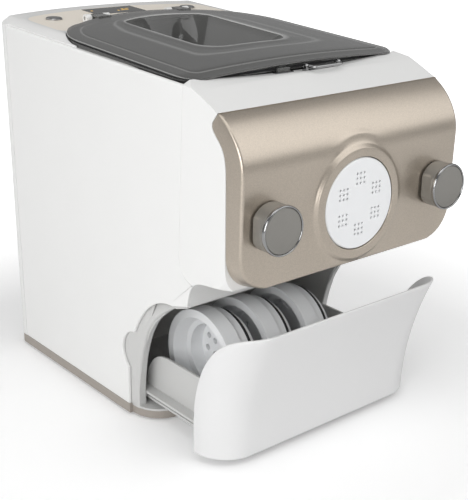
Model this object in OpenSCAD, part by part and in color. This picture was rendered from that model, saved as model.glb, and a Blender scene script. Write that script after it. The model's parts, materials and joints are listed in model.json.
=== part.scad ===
// Electric pasta maker: mixing chamber and drive at the back, extruding nose at the
// front, disc drawer underneath.  Millimetres, +Z up, the front faces -Y.

/* [Body] */
// Width across the side panels
body_w = 215; // [200:1:260]
// Depth from the knob faces to the middle of the rear cover
overall_d = 356; // [344:1:420]
// Height of the side panels' top edge at its front end
side_h = 283; // [278:1:340]
// How far the middle of the rear cover bows out
rear_bow = 18.5; // [14:0.5:24]
// Backward lean of the rear cover, in degrees
rear_lean = 0.5; // [0:0.1:1]
// Slope of the side panels' top edge, in degrees
side_slope = 2.85; // [2.5:0.05:3.1]
// Slope of the top deck, in degrees
deck_slope = 3.35; // [3.2:0.05:3.6]
// Slope of the lid, in degrees
lid_slope = 3.75; // [3.6:0.05:4]
// Wall thickness of the moulded housing parts
wall = 2.5; // [2:0.1:3]
// Radius of the base's front corners
front_r = 30; // [24:1:34]
// Radius of the rear corners
rear_r = 5; // [4:0.5:8]

/* [Base] */
// Depth of the base from the drawer face to the rear corners
base_d = 211.7; // [200:1:222]
// Height of the coloured skirt
skirt_h = 8; // [7:0.5:10]
// How far the rubber feet stand proud of the skirt
foot_proud = 2; // [1.5:0.5:3]

/* [Front] */
// Height of the extruding axis below the side panels' top edge
axis_drop = 87.5; // [85:0.5:95]
// Depth of the nose from the side seam to the front panel
nose_len = 50; // [42:1:60]
// Depth of the front panel's side walls
panel_d = 15.4; // [13:0.2:18]
// How far the disc collar stands proud of the front panel
collar_proud = 4.5; // [3:0.5:6]
// Length of a knob
knob_len = 15; // [12:0.5:20]
// Radius of a knob's bright ring
knob_r = 17.8; // [15:0.2:20]
// Distance of a knob's axis from the side of the body
knob_inset = 23.5; // [22:0.5:28]

/* [Discs] */
// Radius of a shaping disc's flange
disc_flange_r = 41.8; // [40:0.2:43]
// Radius of a shaping disc's visible face
disc_face_r = 33.7; // [32:0.1:35]
// Length of a shaping disc
disc_len = 32; // [30:0.5:36]

/* [Drawer] */
// Height of the drawer front's top edge
drawer_top = 113.5; // [112:0.5:116]
// How far the drawer stands open
drawer_open = 85; // [60:1:85]
// Thickness of the drawer front's skin
drawer_wall = 2.5; // [2:0.1:3]
// How far the drawer front flares forward at its top
drawer_flare = 26.9; // [20:0.1:30]

/* [Chamber] */
// Radius of the mixing trough's outside
trough_r = 64; // [60:0.5:66]
// Distance from the lid's rear edge to the chamber's rear wall
chamber_tail = 12; // [10:0.5:16]
// Crown of the lid over its own width
lid_crown = 4; // [3:0.5:5]
// Thickness of the lid
lid_t = 2.4; // [2:0.1:3]
// Depth of the lid's filling hopper
hopper_depth = 30; // [24:1:32]

/* [Drive] */
// Teeth of the motor pinion
pinion_teeth = 10; // [10:1:11]
// Teeth of the first large gear
gear_a_teeth = 48; // [44:2:50]
// Module of the first stage
module_a = 1.25; // [1.2:0.05:1.3]
// Module of the second stage
module_b = 1.5; // [1.4:0.05:1.6]
// Module of the third stage
module_c = 2; // [1.9:0.05:2.1]
// Radius of the drive shaft
shaft_r = 6; // [5:0.5:6.5]
// Radius of the motor can
motor_r = 36; // [30:1:36]

/* [Hidden] */

$fn = 64;
big = 900;
fit = 0.3;          // gap between parts that lift off each other
run = 0.05;         // radial running clearance of a shaft or pin

hw = body_w / 2;
y_back = overall_d / 2;
y_front = -overall_d / 2;
axis_z = side_h - axis_drop;
knob_gap = 2.1;
panel_y = y_front + knob_len + knob_gap;
panel_back = panel_y + panel_d;
panel_drop = 46;                       // panel's lower edge below the axis
panel_tuck = 3.2;                      // how much lower the edge is at its back
panel_foot = axis_z - panel_drop - panel_tuck;
panel_gap = 0.4;                       // shadow gap behind the front panel
seam_gap = 0.25;
panel_rise = 74.8;                     // panel's upper edge above the axis
disc_y = panel_y - collar_proud;
seam_slant = 3;
seam_y = panel_back + nose_len;
seam_top = seam_y - seam_slant;
seam_bot = seam_y + seam_slant;
sill_z = foot_proud + skirt_h;
floor_t = 2;
floor_z = foot_proud + floor_t;
rear_side_y = y_back - rear_bow;       // rear corner at the top
rear_top_z = side_h + 19;
rear_foot_y = rear_side_y - rear_top_z * tan(rear_lean);
rear_seam = 9.3;                        // side seam ahead of the rear corner
base_front = rear_foot_y - base_d;
wing_y = base_front + front_r + 1.5;   // rear edge of the closed drawer's wings
skin_inset = drawer_wall + 0.5;
deck_rise = 3;
crown_r = hw * hw / 47.6;              // rounds the deck down to the side panels
deck_in = hw - wall;

// Drawer wing: a quarter ellipse between the rear edge and the top edge
wing_low = 30;
wing_run = 60;
wing_gap = 1.2;
flank_top = drawer_top - wing_low;
cut_rise = 3;                          // gap of the cut-out over the drawer
lintel_z = drawer_top + 7.5;
lintel_y = seam_bot - 9;
bay_z = drawer_top + 5.5;              // underside of the bay's ceiling
bay_wall = 2;
bay_half = hw - wall - 0.4;
bay_back = wing_y + 92.5;
bay_floor = sill_z - 1.5;
bay_floor_t = 1.7;
rim_in = 7;

// Drawer tray
tray_top = bay_floor + bay_floor_t + 2.7;
tray_half = 88;
tray_wall = 2;
tray_rear = wing_y - drawer_open + 87.5;
tray_rim = 54;
runner_x = 96.8;
runner_z = 20;
front_foot_y = base_front - 0.4;
disc_z = tray_top + fit + disc_flange_r;
disc_row_y = wing_y - drawer_open + 40.5;
disc_xs = [-70, -31, 10];

// Lid and chamber rim
lid_edge_z = side_h + 4.5;             // lid's top edge over the front seam
lid_half = hw - 3.5;
lid_front = seam_top - 4;
lid_rear = seam_top + 205;
lid_bow = 36;
lid_rr = 30;
lid_rf = 18;
seal_t = 0.8;
rim_gap = 0.4;
chamber_front = seam_y + 2.5;
chamber_back = lid_rear - chamber_tail;
chamber_bow = lid_bow - 8;
chamber_half = hw - 7;
chamber_wall = 2.5;
outlet_r = 28;
hinge_y = lid_rear + 3.5;
hinge_r = 3.2;
pin_r = 1.6;
hinge_z = lid_edge_z + (hinge_y - seam_top) * tan(lid_slope);
hinge_x = 42;

// Extruder
bore_r = 23.3;
tube_r = 30;
disc_back = disc_y + disc_len;
auger_r = bore_r - 1;
auger_front = disc_back + 2;
step_r = 38.5;
flange_t = 14;
step_t = 9;

// Drive: a train standing upright behind the chamber
plate_t = 3;
box_front = rear_side_y - 31;
box_back = box_front + 28;
gear_b_teeth = 38;
gear_c_teeth = 30;
small_b_teeth = 11;
small_c_teeth = 10;
pitch_a = module_a * (pinion_teeth + gear_a_teeth) / 2;
pitch_b = module_b * (small_b_teeth + gear_b_teeth) / 2;
pitch_c = module_c * (small_c_teeth + gear_c_teeth) / 2;
z_gear_b = axis_z - pitch_c;
z_gear_a = z_gear_b - pitch_b;
z_motor = z_gear_a - pitch_a;
stage_a = box_front + plate_t + 1.5;
stage_b = stage_a + 6.5;
stage_c = stage_b + 7;
stage_w = 5.5;
axle_r = 3;
rotor_r = 2.5;
bush_r = shaft_r + 3;
motor_len = 40;
plate_half = 42;
spacer_x = 37.5;

knob_x = hw - knob_inset;
stud_r = 4;
insert_r = 7;

white = [0.93, 0.93, 0.92];
grey_white = [0.83, 0.84, 0.84];
champagne = [0.70, 0.64, 0.57];
taupe = [0.65, 0.61, 0.57];
smoke = [0.38, 0.38, 0.36];
knob_grey = [0.57, 0.55, 0.53];
bright = [0.86, 0.86, 0.87];
steel = [0.66, 0.67, 0.68];
brass = [0.78, 0.66, 0.38];
black = [0.10, 0.10, 0.11];
beige = [0.92, 0.88, 0.82];
nylon = [0.88, 0.86, 0.78];
board_green = [0.10, 0.36, 0.22];

// ---------------------------------------------------------------- curves

function bez_at(a, b, c, d, t) =
    let (s = 1 - t)
    s * s * s * a + 3 * s * s * t * b + 3 * s * t * t * c + t * t * t * d;

function bez(a, b, c, d, n, first = 0, last = 1) =
    [for (i = [0:n]) bez_at(a, b, c, d, first + (last - first) * i / n)];

function arc(c, r, a0, a1, n) =
    [for (i = [0:n]) let (a = a0 + (a1 - a0) * i / n) c + r * [cos(a), sin(a)]];

function flip(pts) = [for (i = [len(pts) - 1:-1:0]) pts[i]];

function shift(pts, d) = [for (p = pts) p + d];

// Plan outline: round front corners, round rear corners and a bowed rear
function plan(half, yf, ys, bow, rf, rr, n = 7) =
    let (
        q = half - rr,
        yq = ys + bow * (1 - pow(q / half, 2)),
        corner = bez([half, ys - rr], [half, ys - rr * 0.4], [half - rr * 0.4, yq - rr * 0.12], [q, yq], n)
    )
    concat(
        arc([-half + rf, yf + rf], rf, 180, 270, n),
        arc([half - rf, yf + rf], rf, 270, 360, n),
        corner,
        [for (i = [1:9]) let (x = q * (1 - i / 5)) [x, ys + bow * (1 - pow(x / half, 2))]],
        flip([for (p = corner) [-p[0], p[1]]])
    );

function side_top(y) = side_h + (y - seam_top) * tan(side_slope);
function deck_z(y) = side_h + deck_rise + (y - seam_top) * tan(deck_slope);
function lid_z(y) = lid_edge_z + (y - seam_top) * tan(lid_slope);
function rear_y(z) = rear_foot_y + z * tan(rear_lean);

// Underside of the nose, from the lintel over the drawer to the front panel
function under(first, last) = bez([lintel_y, lintel_z], [lintel_y - 3, lintel_z + 28],
    [panel_back + 26, axis_z - 50], [panel_back + panel_gap, panel_foot], 8, first, last);
// Where the side seam runs onto the underside
under_meet = 0.35;
function seam_round() =
    let (e = under(under_meet, 1)[0])
    bez([seam_bot, axis_z - 34], [seam_bot, axis_z - 46],
        [seam_bot - 4, axis_z - 53], e, 8);
function seam() = concat([[seam_top, side_top(seam_top)]], seam_round());

// Edge of the cut-out that the drawer's wing closes, from its foot to its top
function wing(grow, rise, dy = 0) = concat(
    [[wing_y + grow + dy, sill_z]],
    [for (a = [0:9:90])
        [wing_y - wing_run + dy + (wing_run + grow) * cos(a), wing_low + (flank_top + rise) * sin(a)]]
);

// Front edge of the bay's inner wall, from its foot to the ceiling
function bay_edge() = concat(
    [[wing_y - 8.7, bay_floor]],
    bez([wing_y - 8.7, 25], [wing_y - 10.5, 45], [wing_y - 13, 56], [wing_y - 16.5, 66], 4),
    bez([wing_y - 18, 70], [wing_y - 28, 97], [wing_y - 46, bay_z - 9], [lintel_y + 3, bay_z], 7)
);

// Rear edge of the front panel's side wall, from its top down
function panel_edge() = concat(
    [[panel_back + 8.6, axis_z + panel_rise]],
    bez([panel_back + 14.4, axis_z + 67.5], [panel_back + 16, axis_z + 63],
        [panel_back + 11, axis_z + 60], [panel_back + 7, axis_z + 55.5], 4),
    bez([panel_back + 5, axis_z + 53], [panel_back + 1.5, axis_z + 49],
        [panel_back, axis_z + 41.5], [panel_back, axis_z + 30], 5),
    [[panel_back, panel_foot]]
);

// Front face of the front panel, from its top down
function panel_face() = concat(
    bez([panel_back + 8.6, axis_z + panel_rise], [panel_back - 1, axis_z + 70.5],
        [panel_y - 1.6, axis_z + 56.5], [panel_y - 1.6, axis_z + 36.5], 10),
    [[panel_y, axis_z - 24]],
    arc([panel_y + 1.5, axis_z - panel_drop + 1.5], 1.5, 180, 258, 3)
);

// Outline of the front panel and the nose seen from the front, low edge at z = 0
function panel_outline(inset, r) =
    let (h = hw - inset)
    concat(
        arc([-h + r - inset, r], r - inset, 180, 270, 8),
        arc([h - r + inset, r], r - inset, 270, 360, 8),
        [[h, 200], [-h, 200]]
    );

// ---------------------------------------------------------------- helpers

// Sweeps a side-view profile (Y, Z) across the width
module across(w) {
    rotate([90, 0, 90])
        linear_extrude(height = w, center = true)
            children();
}

// Sweeps a front-view profile (X, Z) along the depth
module along(y0, y1) {
    translate([0, y1, 0])
        rotate([90, 0, 0])
            linear_extrude(height = y1 - y0)
                children();
}

// Cylinder lying along Y
module ycyl(r, y0, y1, x = 0, z = 0, r2 = -1) {
    translate([x, y0, z])
        rotate([-90, 0, 0])
            cylinder(r1 = r, r2 = r2 < 0 ? r : r2, h = y1 - y0);
}

// Cylinder lying along X
module xcyl(r, x0, x1, y, z) {
    translate([x0, y, z])
        rotate([0, 90, 0])
            cylinder(r = r, h = x1 - x0);
}

module box(x0, x1, y0, y1, z0, z1) {
    translate([x0, y0, z0])
        cube([x1 - x0, y1 - y0, z1 - z0]);
}

module both_sides() {
    children();
    mirror([1, 0, 0])
        children();
}

// Everything below a plane that climbs towards the rear
module below(y, z, slope) {
    translate([0, y, z])
        rotate([slope, 0, 0])
            translate([-big / 2, -big / 2, -big])
                cube([big, big, big]);
}

// Everything under the machine's top surface, lowered by drop
module under_top(drop = 0) {
    translate([0, 0, -drop])
        intersection() {
            below(seam_top, side_h + deck_rise, deck_slope);
            translate([0, seam_top, side_h])
                rotate([side_slope, 0, 0])
                    translate([0, 0, -sqrt(crown_r * crown_r - hw * hw)])
                        ycyl(crown_r, -big / 2, big / 2, $fn = 360);
        }
}

module prism(pts, z0, z1) {
    translate([0, 0, z0])
        linear_extrude(height = z1 - z0)
            polygon(pts);
}

// ---------------------------------------------------------------- base

screw_x = deck_in - 4.8;
screw_ys = [bay_back + 10, rear_foot_y - 22];
screw_r = 1.4;
foot_x = hw - 22;
foot_ys = [base_front + 40, rear_foot_y - 24];
foot_r = 9;
cell_len = 40;

function base_rear() = plan(hw, base_front, rear_foot_y, rear_bow, front_r, rear_r);
function base_nose(inset) =
    plan(hw - inset, base_front + inset, rear_foot_y - inset, rear_bow, front_r - inset, rear_r);

module base_outline(inset) {
    intersection() {
        polygon(plan(hw - inset, base_front + inset, rear_foot_y - inset, rear_bow,
            front_r - inset, rear_r));
        translate([-hw, wing_y + inset])
            square([body_w, big]);
    }
    intersection() {
        polygon(base_nose(skin_inset + inset));
        translate([-hw, -big])
            square([body_w, big + wing_y + inset + 1]);
    }
}

module base_plate() {
    color(taupe)
    difference() {
        union() {
            difference() {
                translate([0, 0, foot_proud])
                    linear_extrude(height = skirt_h)
                        base_outline(0);
                translate([0, 0, floor_z])
                    linear_extrude(height = skirt_h)
                        base_outline(wall);
            }
            for (y = foot_ys)
                both_sides()
                    box(foot_x - cell_len + 6, foot_x - cell_len + 16, y - 6, y + 6,
                        floor_z - 0.5, floor_z + 0.8);
            for (x = board_posts_x, y = board_posts_y)
                translate([x, y, floor_z - 0.5])
                    cylinder(r = 3, h = board_z - floor_z + 0.5);
            // posts under the side panels' bosses
            both_sides()
                for (y = screw_ys)
                    translate([screw_x, y, floor_z - 0.5])
                        cylinder(r = 4, h = sill_z - floor_z + 0.5);
        }
        both_sides()
            for (y = screw_ys)
                translate([screw_x, y, 0]) {
                    cylinder(r = screw_r + 0.3, h = sill_z + 1);
                    cylinder(r = 3.2, h = foot_proud + 3);
                }
        for (y = foot_ys)
            both_sides()
                translate([foot_x, y, 0])
                    cylinder(r = foot_r + 1, h = floor_z + 0.5);
        box(-hw + wall, hw - wall, -big / 2, wing_y + 5, bay_floor - 0.02, sill_z + 1);
        box(-hw, hw, -big / 2, wing_y, bay_floor - 0.02, sill_z + 1);
    }
}

module base_screws() {
    color(steel)
    both_sides()
        for (y = screw_ys)
            translate([screw_x, y, 0]) {
                translate([0, 0, foot_proud + 1.2])
                    cylinder(r = 2.8, h = 1.8);
                translate([0, 0, foot_proud + 2.8])
                    cylinder(r = screw_r, h = sill_z + 7 - foot_proud);
            }
}

module rubber_feet() {
    color(black)
    for (y = foot_ys)
        both_sides()
            translate([foot_x, y, 0]) {
                cylinder(r1 = foot_r - 0.8, r2 = foot_r, h = 1);
                translate([0, 0, 1])
                    cylinder(r = foot_r, h = foot_proud);
                cylinder(r = 3.5, h = floor_z + 0.8);
            }
}

module load_cells() {
    color(bright)
    for (y = foot_ys)
        both_sides()
            difference() {
                box(foot_x - cell_len + 6, foot_x + 6, y - 6, y + 6, floor_z + 0.8, floor_z + 4);
                for (dx = [-4.5, 4.5])
                    translate([foot_x - cell_len / 2 + 6 + dx, y, floor_z])
                        cylinder(r = 3, h = 5);
            }
}

// ---------------------------------------------------------------- housing

function side_outline() = concat(
    [[rear_y(sill_z) - rear_seam - seam_gap, sill_z]],
    [[rear_y(side_top(rear_side_y)) - rear_seam - seam_gap, side_top(rear_side_y - rear_seam)]],
    seam(),
    flip(under(0, under_meet)),
    flip(wing(wing_gap, cut_rise))
);

module side_panel() {
    difference() {
        translate([hw - wall / 2, 0, 0])
            across(wall)
                polygon(side_outline());
        // finger recess at the drawer's rear edge
        xcyl(19, hw - wall - 1, hw + 1, wing_y - 10.5, 58);
    }
    // screw bosses along the foot
    for (y = screw_ys)
        difference() {
            box(deck_in - 9, deck_in, y - 5, y + 5, sill_z, sill_z + 14);
            translate([screw_x, y, sill_z - 1])
                cylinder(r = screw_r, h = 12);
        }
}

module left_side_panel() {
    color(white)
        mirror([1, 0, 0])
            side_panel();
}

module right_side_panel() {
    color(white)
        side_panel();
}

vent_x = 46.5;
gland_x = -70;
gland_z = 34;

module rear_shell(inset) {
    translate([0, rear_foot_y, 0])
        rotate([-rear_lean, 0, 0])
            translate([0, -rear_foot_y, -10])
                linear_extrude(height = side_h + 60)
                    polygon(plan(hw - inset, base_front, rear_foot_y - inset, rear_bow, front_r, rear_r));
}

module rear_cover() {
    color(white)
    difference() {
        intersection() {
            rear_shell(0);
            under_top();
            translate([0, rear_foot_y - rear_seam, 0])
                rotate([-rear_lean, 0, 0])
                    box(-hw, hw, 0, 60, -10, big);
            box(-hw, hw, 0, big / 2, sill_z, big);
        }
        rear_shell(wall);
        for (k = [0:6], s = [-1, 1])
            box(s * vent_x - 25, s * vent_x + 25, rear_foot_y - 10, y_back + 10,
                64 + k * 9, 68 + k * 9);
        ycyl(9, rear_foot_y - 10, y_back + 10, gland_x, gland_z);
    }
}

module cord_gland() {
    y = rear_y(gland_z) + rear_bow * (1 - pow(gland_x / hw, 2));
    color(black)
    difference() {
        ycyl(9, y - 8, y + 2.5, gland_x, gland_z);
        ycyl(4.2, y - 9, y + 4, gland_x, gland_z);
    }
}

function ring_plan(inset) = plan(lid_half - 2.2 - inset, seam_top + 2.4 + inset,
    chamber_back - chamber_bow + 3.2 - inset, chamber_bow, lid_rf, lid_rr);
function chamber_plan(inset) = plan(chamber_half - inset, chamber_front + inset,
    chamber_back - chamber_bow - inset, chamber_bow, 12, lid_rr - 1);
function lid_plan(inset, yf) =
    plan(lid_half - inset, yf, lid_rear - lid_bow - inset, lid_bow, lid_rf, lid_rr);

function deck_plan(inset) = plan(deck_in - inset, seam_top + inset,
    rear_side_y - wall - inset + 0.2, rear_bow, 1, rear_r - wall);

ear_x0 = hinge_x - 12;
ear_x1 = hinge_x + 12;
knuckle = 6;                           // half length of a lid knuckle

module top_deck() {
    color(white)
    union() {
        difference() {
            deck_shell();
            // opening for the mixing chamber
            prism(chamber_plan(-0.5), 0, big);
            // step for the chamber's rim, open to the side panels along the lid's straight sides
            difference() {
                union() {
                    prism(lid_plan(-rim_gap, seam_top - 5), 0, big);
                    box(-hw, hw, seam_top - 5, lid_rear - lid_bow - lid_rr, 0, big);
                }
                below(seam_top, side_h, side_slope);
            }
            inlay_volume(0.05);
            display_volume(0.1);
            button_holes();
            // room for the lid's knuckles
            for (s = [-1, 1])
                xcyl(hinge_r + 0.6, s * hinge_x - knuckle - fit, s * hinge_x + knuckle + fit,
                    hinge_y, hinge_z);
        }
        // hinge ears
        for (x = [ear_x0, hinge_x + knuckle + fit])
            both_sides()
                difference() {
                    union() {
                        xcyl(hinge_r, x, x + knuckle - fit, hinge_y, hinge_z);
                        box(x, x + knuckle - fit, hinge_y - hinge_r, hinge_y + hinge_r,
                            deck_z(hinge_y) - 2.2, hinge_z);
                    }
                    xcyl(pin_r, x - 1, x + knuckle + 1, hinge_y, hinge_z);
                }
        // bosses that carry the control board
        on_deck()
            for (x = [-78, 78], y = [board_y0 + 5, board_y1 - 5])
                translate([x, y, -board_drop])
                    cylinder(r = 3, h = board_drop - wall + 0.5);
    }
}

// Skin, edge flange and the ledge that carries the chamber
module deck_shell() {
    difference() {
        intersection() {
            under_top();
            prism(deck_plan(0), side_h - 12, side_h + 60);
            rear_shell(wall);
        }
        difference() {
            under_top(wall);
            difference() {
                below(seam_top, side_h, side_slope);
                below(seam_top, side_h - 3, side_slope);
                box(-hw, hw, lid_rear + 4, y_back, 0, big);
            }
            difference() {
                below(seam_top, side_h + 3, side_slope);
                below(seam_top, side_h - 8, side_slope);
                prism(deck_plan(2), side_h - 40, side_h + 60);
            }
        }
    }
}

module button_holes() {
    for (x = [-button_x, button_x])
        on_deck()
            translate([x, button_y, -10])
                cylinder(r = button_r + 0.35, h = 20);
}

// Local frame on the deck's plane, Y along the slope
module on_deck() {
    translate([0, seam_top, side_h + deck_rise])
        rotate([deck_slope, 0, 0])
            children();
}

button_x = 70.6;
button_y = 231;
button_r = 7;
board_drop = 10;
board_y0 = 216;
board_y1 = 258;

inlay_t = 0.8;

module inlay_volume(grow) {
    difference() {
        intersection() {
            under_top();
            difference() {
                prism(plan(92.5 + grow, seam_top + 180, rear_side_y - 14, rear_bow, 10, 14), 0, big);
                prism(lid_plan(-1.2, seam_top), 0, big);
            }
        }
        under_top(inlay_t + grow);
    }
}

module control_inlay() {
    color(beige)
    difference() {
        inlay_volume(0);
        display_volume(0.1);
        button_holes();
        both_sides()
            box(ear_x0 - 0.5, ear_x1 + 0.5, hinge_y - 4.5, hinge_y + 4.2, 0, big);
    }
}

module display_volume(grow) {
    on_deck()
        box(-26 - grow, 26 + grow, 233.5 - grow, 260 + grow, -wall - 0.5, 0.2);
}

module display_window() {
    color(black)
        display_volume(0);
}

module control_board() {
    color(board_green)
    on_deck() {
        difference() {
            box(-84, 84, board_y0, board_y1, -board_drop - 1.6, -board_drop);
            for (x = [-78, 78], y = [board_y0 + 5, board_y1 - 5])
                translate([x, y, -board_drop - 3])
                    cylinder(r = 1.2, h = 6);
        }
        for (x = [-button_x, button_x])
            box(x - 3, x + 3, button_y - 3, button_y + 3, -board_drop - 0.2, -7.3);
        box(-24, 24, 236, 256, -board_drop - 0.2, -wall - 0.8);
    }
}

module push_button(x) {
    color(bright)
    on_deck()
        translate([x, button_y, 0]) {
            translate([0, 0, -5.4])
                cylinder(r = button_r, h = 6.2);
            translate([0, 0, 0.8])
                cylinder(r1 = button_r, r2 = button_r - 0.6, h = 0.5);
            translate([0, 0, -5.4])
                cylinder(r = button_r + 1.6, h = 2.4);
        }
}

module power_button() {
    push_button(-button_x);
}

module start_button() {
    push_button(button_x);
}

// ---------------------------------------------------------------- nose

dish_x = 100;
dish_y = 29;
dish_depth = 4;

// Shallow oval dish in front of the lid: a slice of a torus
module dish() {
    ry = (dish_y * dish_y + dish_depth * dish_depth) / (2 * dish_depth);
    rx = (dish_x * dish_x + dish_depth * dish_depth) / (2 * dish_depth);
    translate([0, seam_top - 1, deck_z(seam_top) - dish_depth + rx])
        rotate([90, 0, 0])
            rotate([0, 0, -96])
                rotate_extrude(angle = 12, $fn = 360)
                    translate([rx - ry, 0])
                        intersection() {
                            circle(r = ry, $fn = 128);
                            translate([0, -ry])
                                square([ry, 2 * ry]);
                        }
}

function nose_top() = bez([seam_top - seam_gap, deck_z(seam_top) - 0.1],
    [seam_top - 12, deck_z(seam_top) - 3], [panel_back + 22, axis_z + 80.5],
    [panel_back + 9, axis_z + panel_rise], 8);
function nose_front() = shift(panel_edge(), [panel_gap, 0]);
function nose_flank() = concat(
    [[seam_top - seam_gap, side_top(seam_top)]],
    nose_top(),
    nose_front(),
    flip(under(under_meet + 0.02, 1)),
    flip(shift(seam_round(), [-seam_gap, seam_gap * 0.6]))
);

// Part of the nose between the side panels, down to the lintel
function nose_lintel() =
    let (e = under(under_meet, 1)[0])
    concat(
        [[e[0] - 2, e[1] + 9]],
        flip(under(0, under_meet)),
        [[seam_bot, lintel_z], [seam_bot, axis_z - 30], [e[0] - 4, axis_z - 30]]
    );

// Hollow of the nose, open to the rear
function nose_hollow() = concat(
    [[seam_bot + 12, side_h - 2.7]],
    bez([seam_top + 3, side_h - 2.9], [seam_top - 14, side_h - 3.6],
        [panel_back + 26, axis_z + 78], [panel_back + 17.5, axis_z + 71], 5),
    bez([panel_back + 18.4, axis_z + 66], [panel_back + 18.4, axis_z + 62],
        [panel_back + 15, axis_z + 57.5], [panel_back + 10, axis_z + 53.5], 4),
    bez([panel_back + 7, axis_z + 50.5], [panel_back + 4.5, axis_z + 47],
        [panel_back + 3, axis_z + 41], [panel_back + 3, axis_z + 30], 4),
    flip(bez([lintel_y + 2.8, lintel_z + wall], [lintel_y - 0.4, lintel_z + 28 + wall],
        [panel_back + 27, axis_z - 50 + wall], [panel_back + 3, panel_foot + wall + 0.3], 8)),
    [[seam_bot + 12, lintel_z + wall]]
);

// Rounds the nose's lower edges, strongly at the panel and less at the rear
module nose_corners() {
    hull() {
        translate([0, 0, panel_foot])
            along(panel_back - 12, panel_back + 3)
                polygon(panel_outline(0, 26));
        translate([0, 0, axis_z - 82])
            along(seam_bot, seam_bot + 1)
                polygon(panel_outline(0, 10));
    }
}

sleeve_r = disc_flange_r + fit;
slot_x = -19;

module nose_housing() {
    color(white)
    difference() {
        union() {
            difference() {
                union() {
                    intersection() {
                        across(body_w + 4)
                            polygon(nose_flank());
                        under_top();
                        nose_corners();
                    }
                    across(2 * deck_in)
                        polygon(nose_lintel());
                }
                across(2 * (deck_in - wall))
                    polygon(nose_hollow());
            }
            // sleeve that locates the tube and the disc, and bosses for the inserts
            ycyl(sleeve_r + wall, panel_back + 1, panel_back + 20, 0, axis_z);
            for (x = [-knob_x, knob_x])
                ycyl(insert_r + 2.5, panel_back + 1, panel_back + 17, x, axis_z);
        }
        ycyl(sleeve_r, panel_back - 1, panel_back + 21, 0, axis_z);
        for (x = [-knob_x, knob_x])
            ycyl(insert_r, panel_back - 1, panel_back + 14.5, x, axis_z);
        dish();
        // seat for the lid's overhang
        difference() {
            prism(lid_plan(-0.5, lid_front - 0.5), 0, big);
            below(seam_top, lid_edge_z - lid_t - fit, lid_slope);
        }
        // seat of the latch bracket
        box(latch_x - latch_w / 2 - 2.6, latch_x + latch_w / 2 + 2.6, latch_y - 2.1, latch_y + 2.1,
            latch_foot, big);
        // slot for the lid's tab
        box(slot_x - 8.5, slot_x + 8.5, seam_top - 5.2, seam_top - 0.9, side_h - 20, big);
    }
}

module threaded_inserts() {
    color(brass)
    for (x = [-knob_x, knob_x])
        difference() {
            ycyl(insert_r, panel_back + 0.6, panel_back + 14.5, x, axis_z);
            ycyl(stud_r + run, panel_back, panel_back + 15, x, axis_z);
        }
}

module lid_switch() {
    color(black)
    difference() {
        box(slot_x - 8.4, slot_x + 8.4, seam_top - 5.1, seam_top - 1, side_h - 12, side_h - 0.2);
        box(slot_x - 7, slot_x + 7, seam_top - 4.3, seam_top - 1.8, side_h - 10, side_h + 1);
    }
}

latch_x = 15;
latch_w = 30;
latch_y = seam_top - 7.5;
latch_z = side_h + 2.6;
latch_len = 8;
wire_r = 1.1;

module latch_bracket() {
    color(bright)
    for (s = [-1, 1])
        difference() {
            union() {
                xcyl(2, latch_x + s * (latch_w / 2 + 1.4) - 1.1, latch_x + s * (latch_w / 2 + 1.4) + 1.1,
                    latch_y, latch_z);
                box(latch_x + s * (latch_w / 2 + 1.4) - 1.1, latch_x + s * (latch_w / 2 + 1.4) + 1.1,
                    latch_y - 2, latch_y + 2, latch_foot, latch_z);
            }
            xcyl(wire_r + run, latch_x + s * latch_w / 2 - 5, latch_x + s * latch_w / 2 + 5,
                latch_y, latch_z);
        }
    color(bright)
        box(latch_x - latch_w / 2 - 2.5, latch_x + latch_w / 2 + 2.5, latch_y - 2, latch_y + 2,
            latch_foot, latch_foot + 0.9);
}

// The bracket's foot lies on the dish
latch_foot = side_h - 1.1;

module latch_bail() {
    color(bright)
    union() {
        for (s = [-1, 1]) {
            ycyl(wire_r, latch_y - latch_len, latch_y, latch_x + s * (latch_w / 2 - wire_r), latch_z);
            xcyl(wire_r, latch_x + s * (latch_w / 2 + 0.4) - 2, latch_x + s * (latch_w / 2 + 0.4) + 2,
                latch_y, latch_z);
            translate([latch_x + s * (latch_w / 2 - wire_r), latch_y - latch_len, latch_z])
                sphere(r = wire_r);
        }
        xcyl(wire_r, latch_x - latch_w / 2 + wire_r, latch_x + latch_w / 2 - wire_r,
            latch_y - latch_len, latch_z);
    }
}

// ---------------------------------------------------------------- drawer bay

flare_lean = atan(2 * drawer_flare / drawer_top);

// Space behind the closed drawer front: upright at its foot, leaning at its top
module drawer_room() {
    gap = drawer_wall + 0.7;
    half = bay_half + 0.1;
    r = front_r - drawer_wall;
    prism(plan(half, face_y(drawer_foot) + drawer_open + gap, 300, 1, r, 12), 0, big);
    translate([0, face_y(drawer_top) + drawer_open + gap + 0.8, drawer_top])
        rotate([flare_lean, 0, 0])
            prism(plan(half, 0, 400, 1, r, 12), -300, 60);
    box(-hw, hw, -big, big, drawer_top + 0.8, big);
}

module drawer_bay() {
    color(grey_white)
        intersection() {
            bay_shell();
            drawer_room();
        }
}

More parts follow.
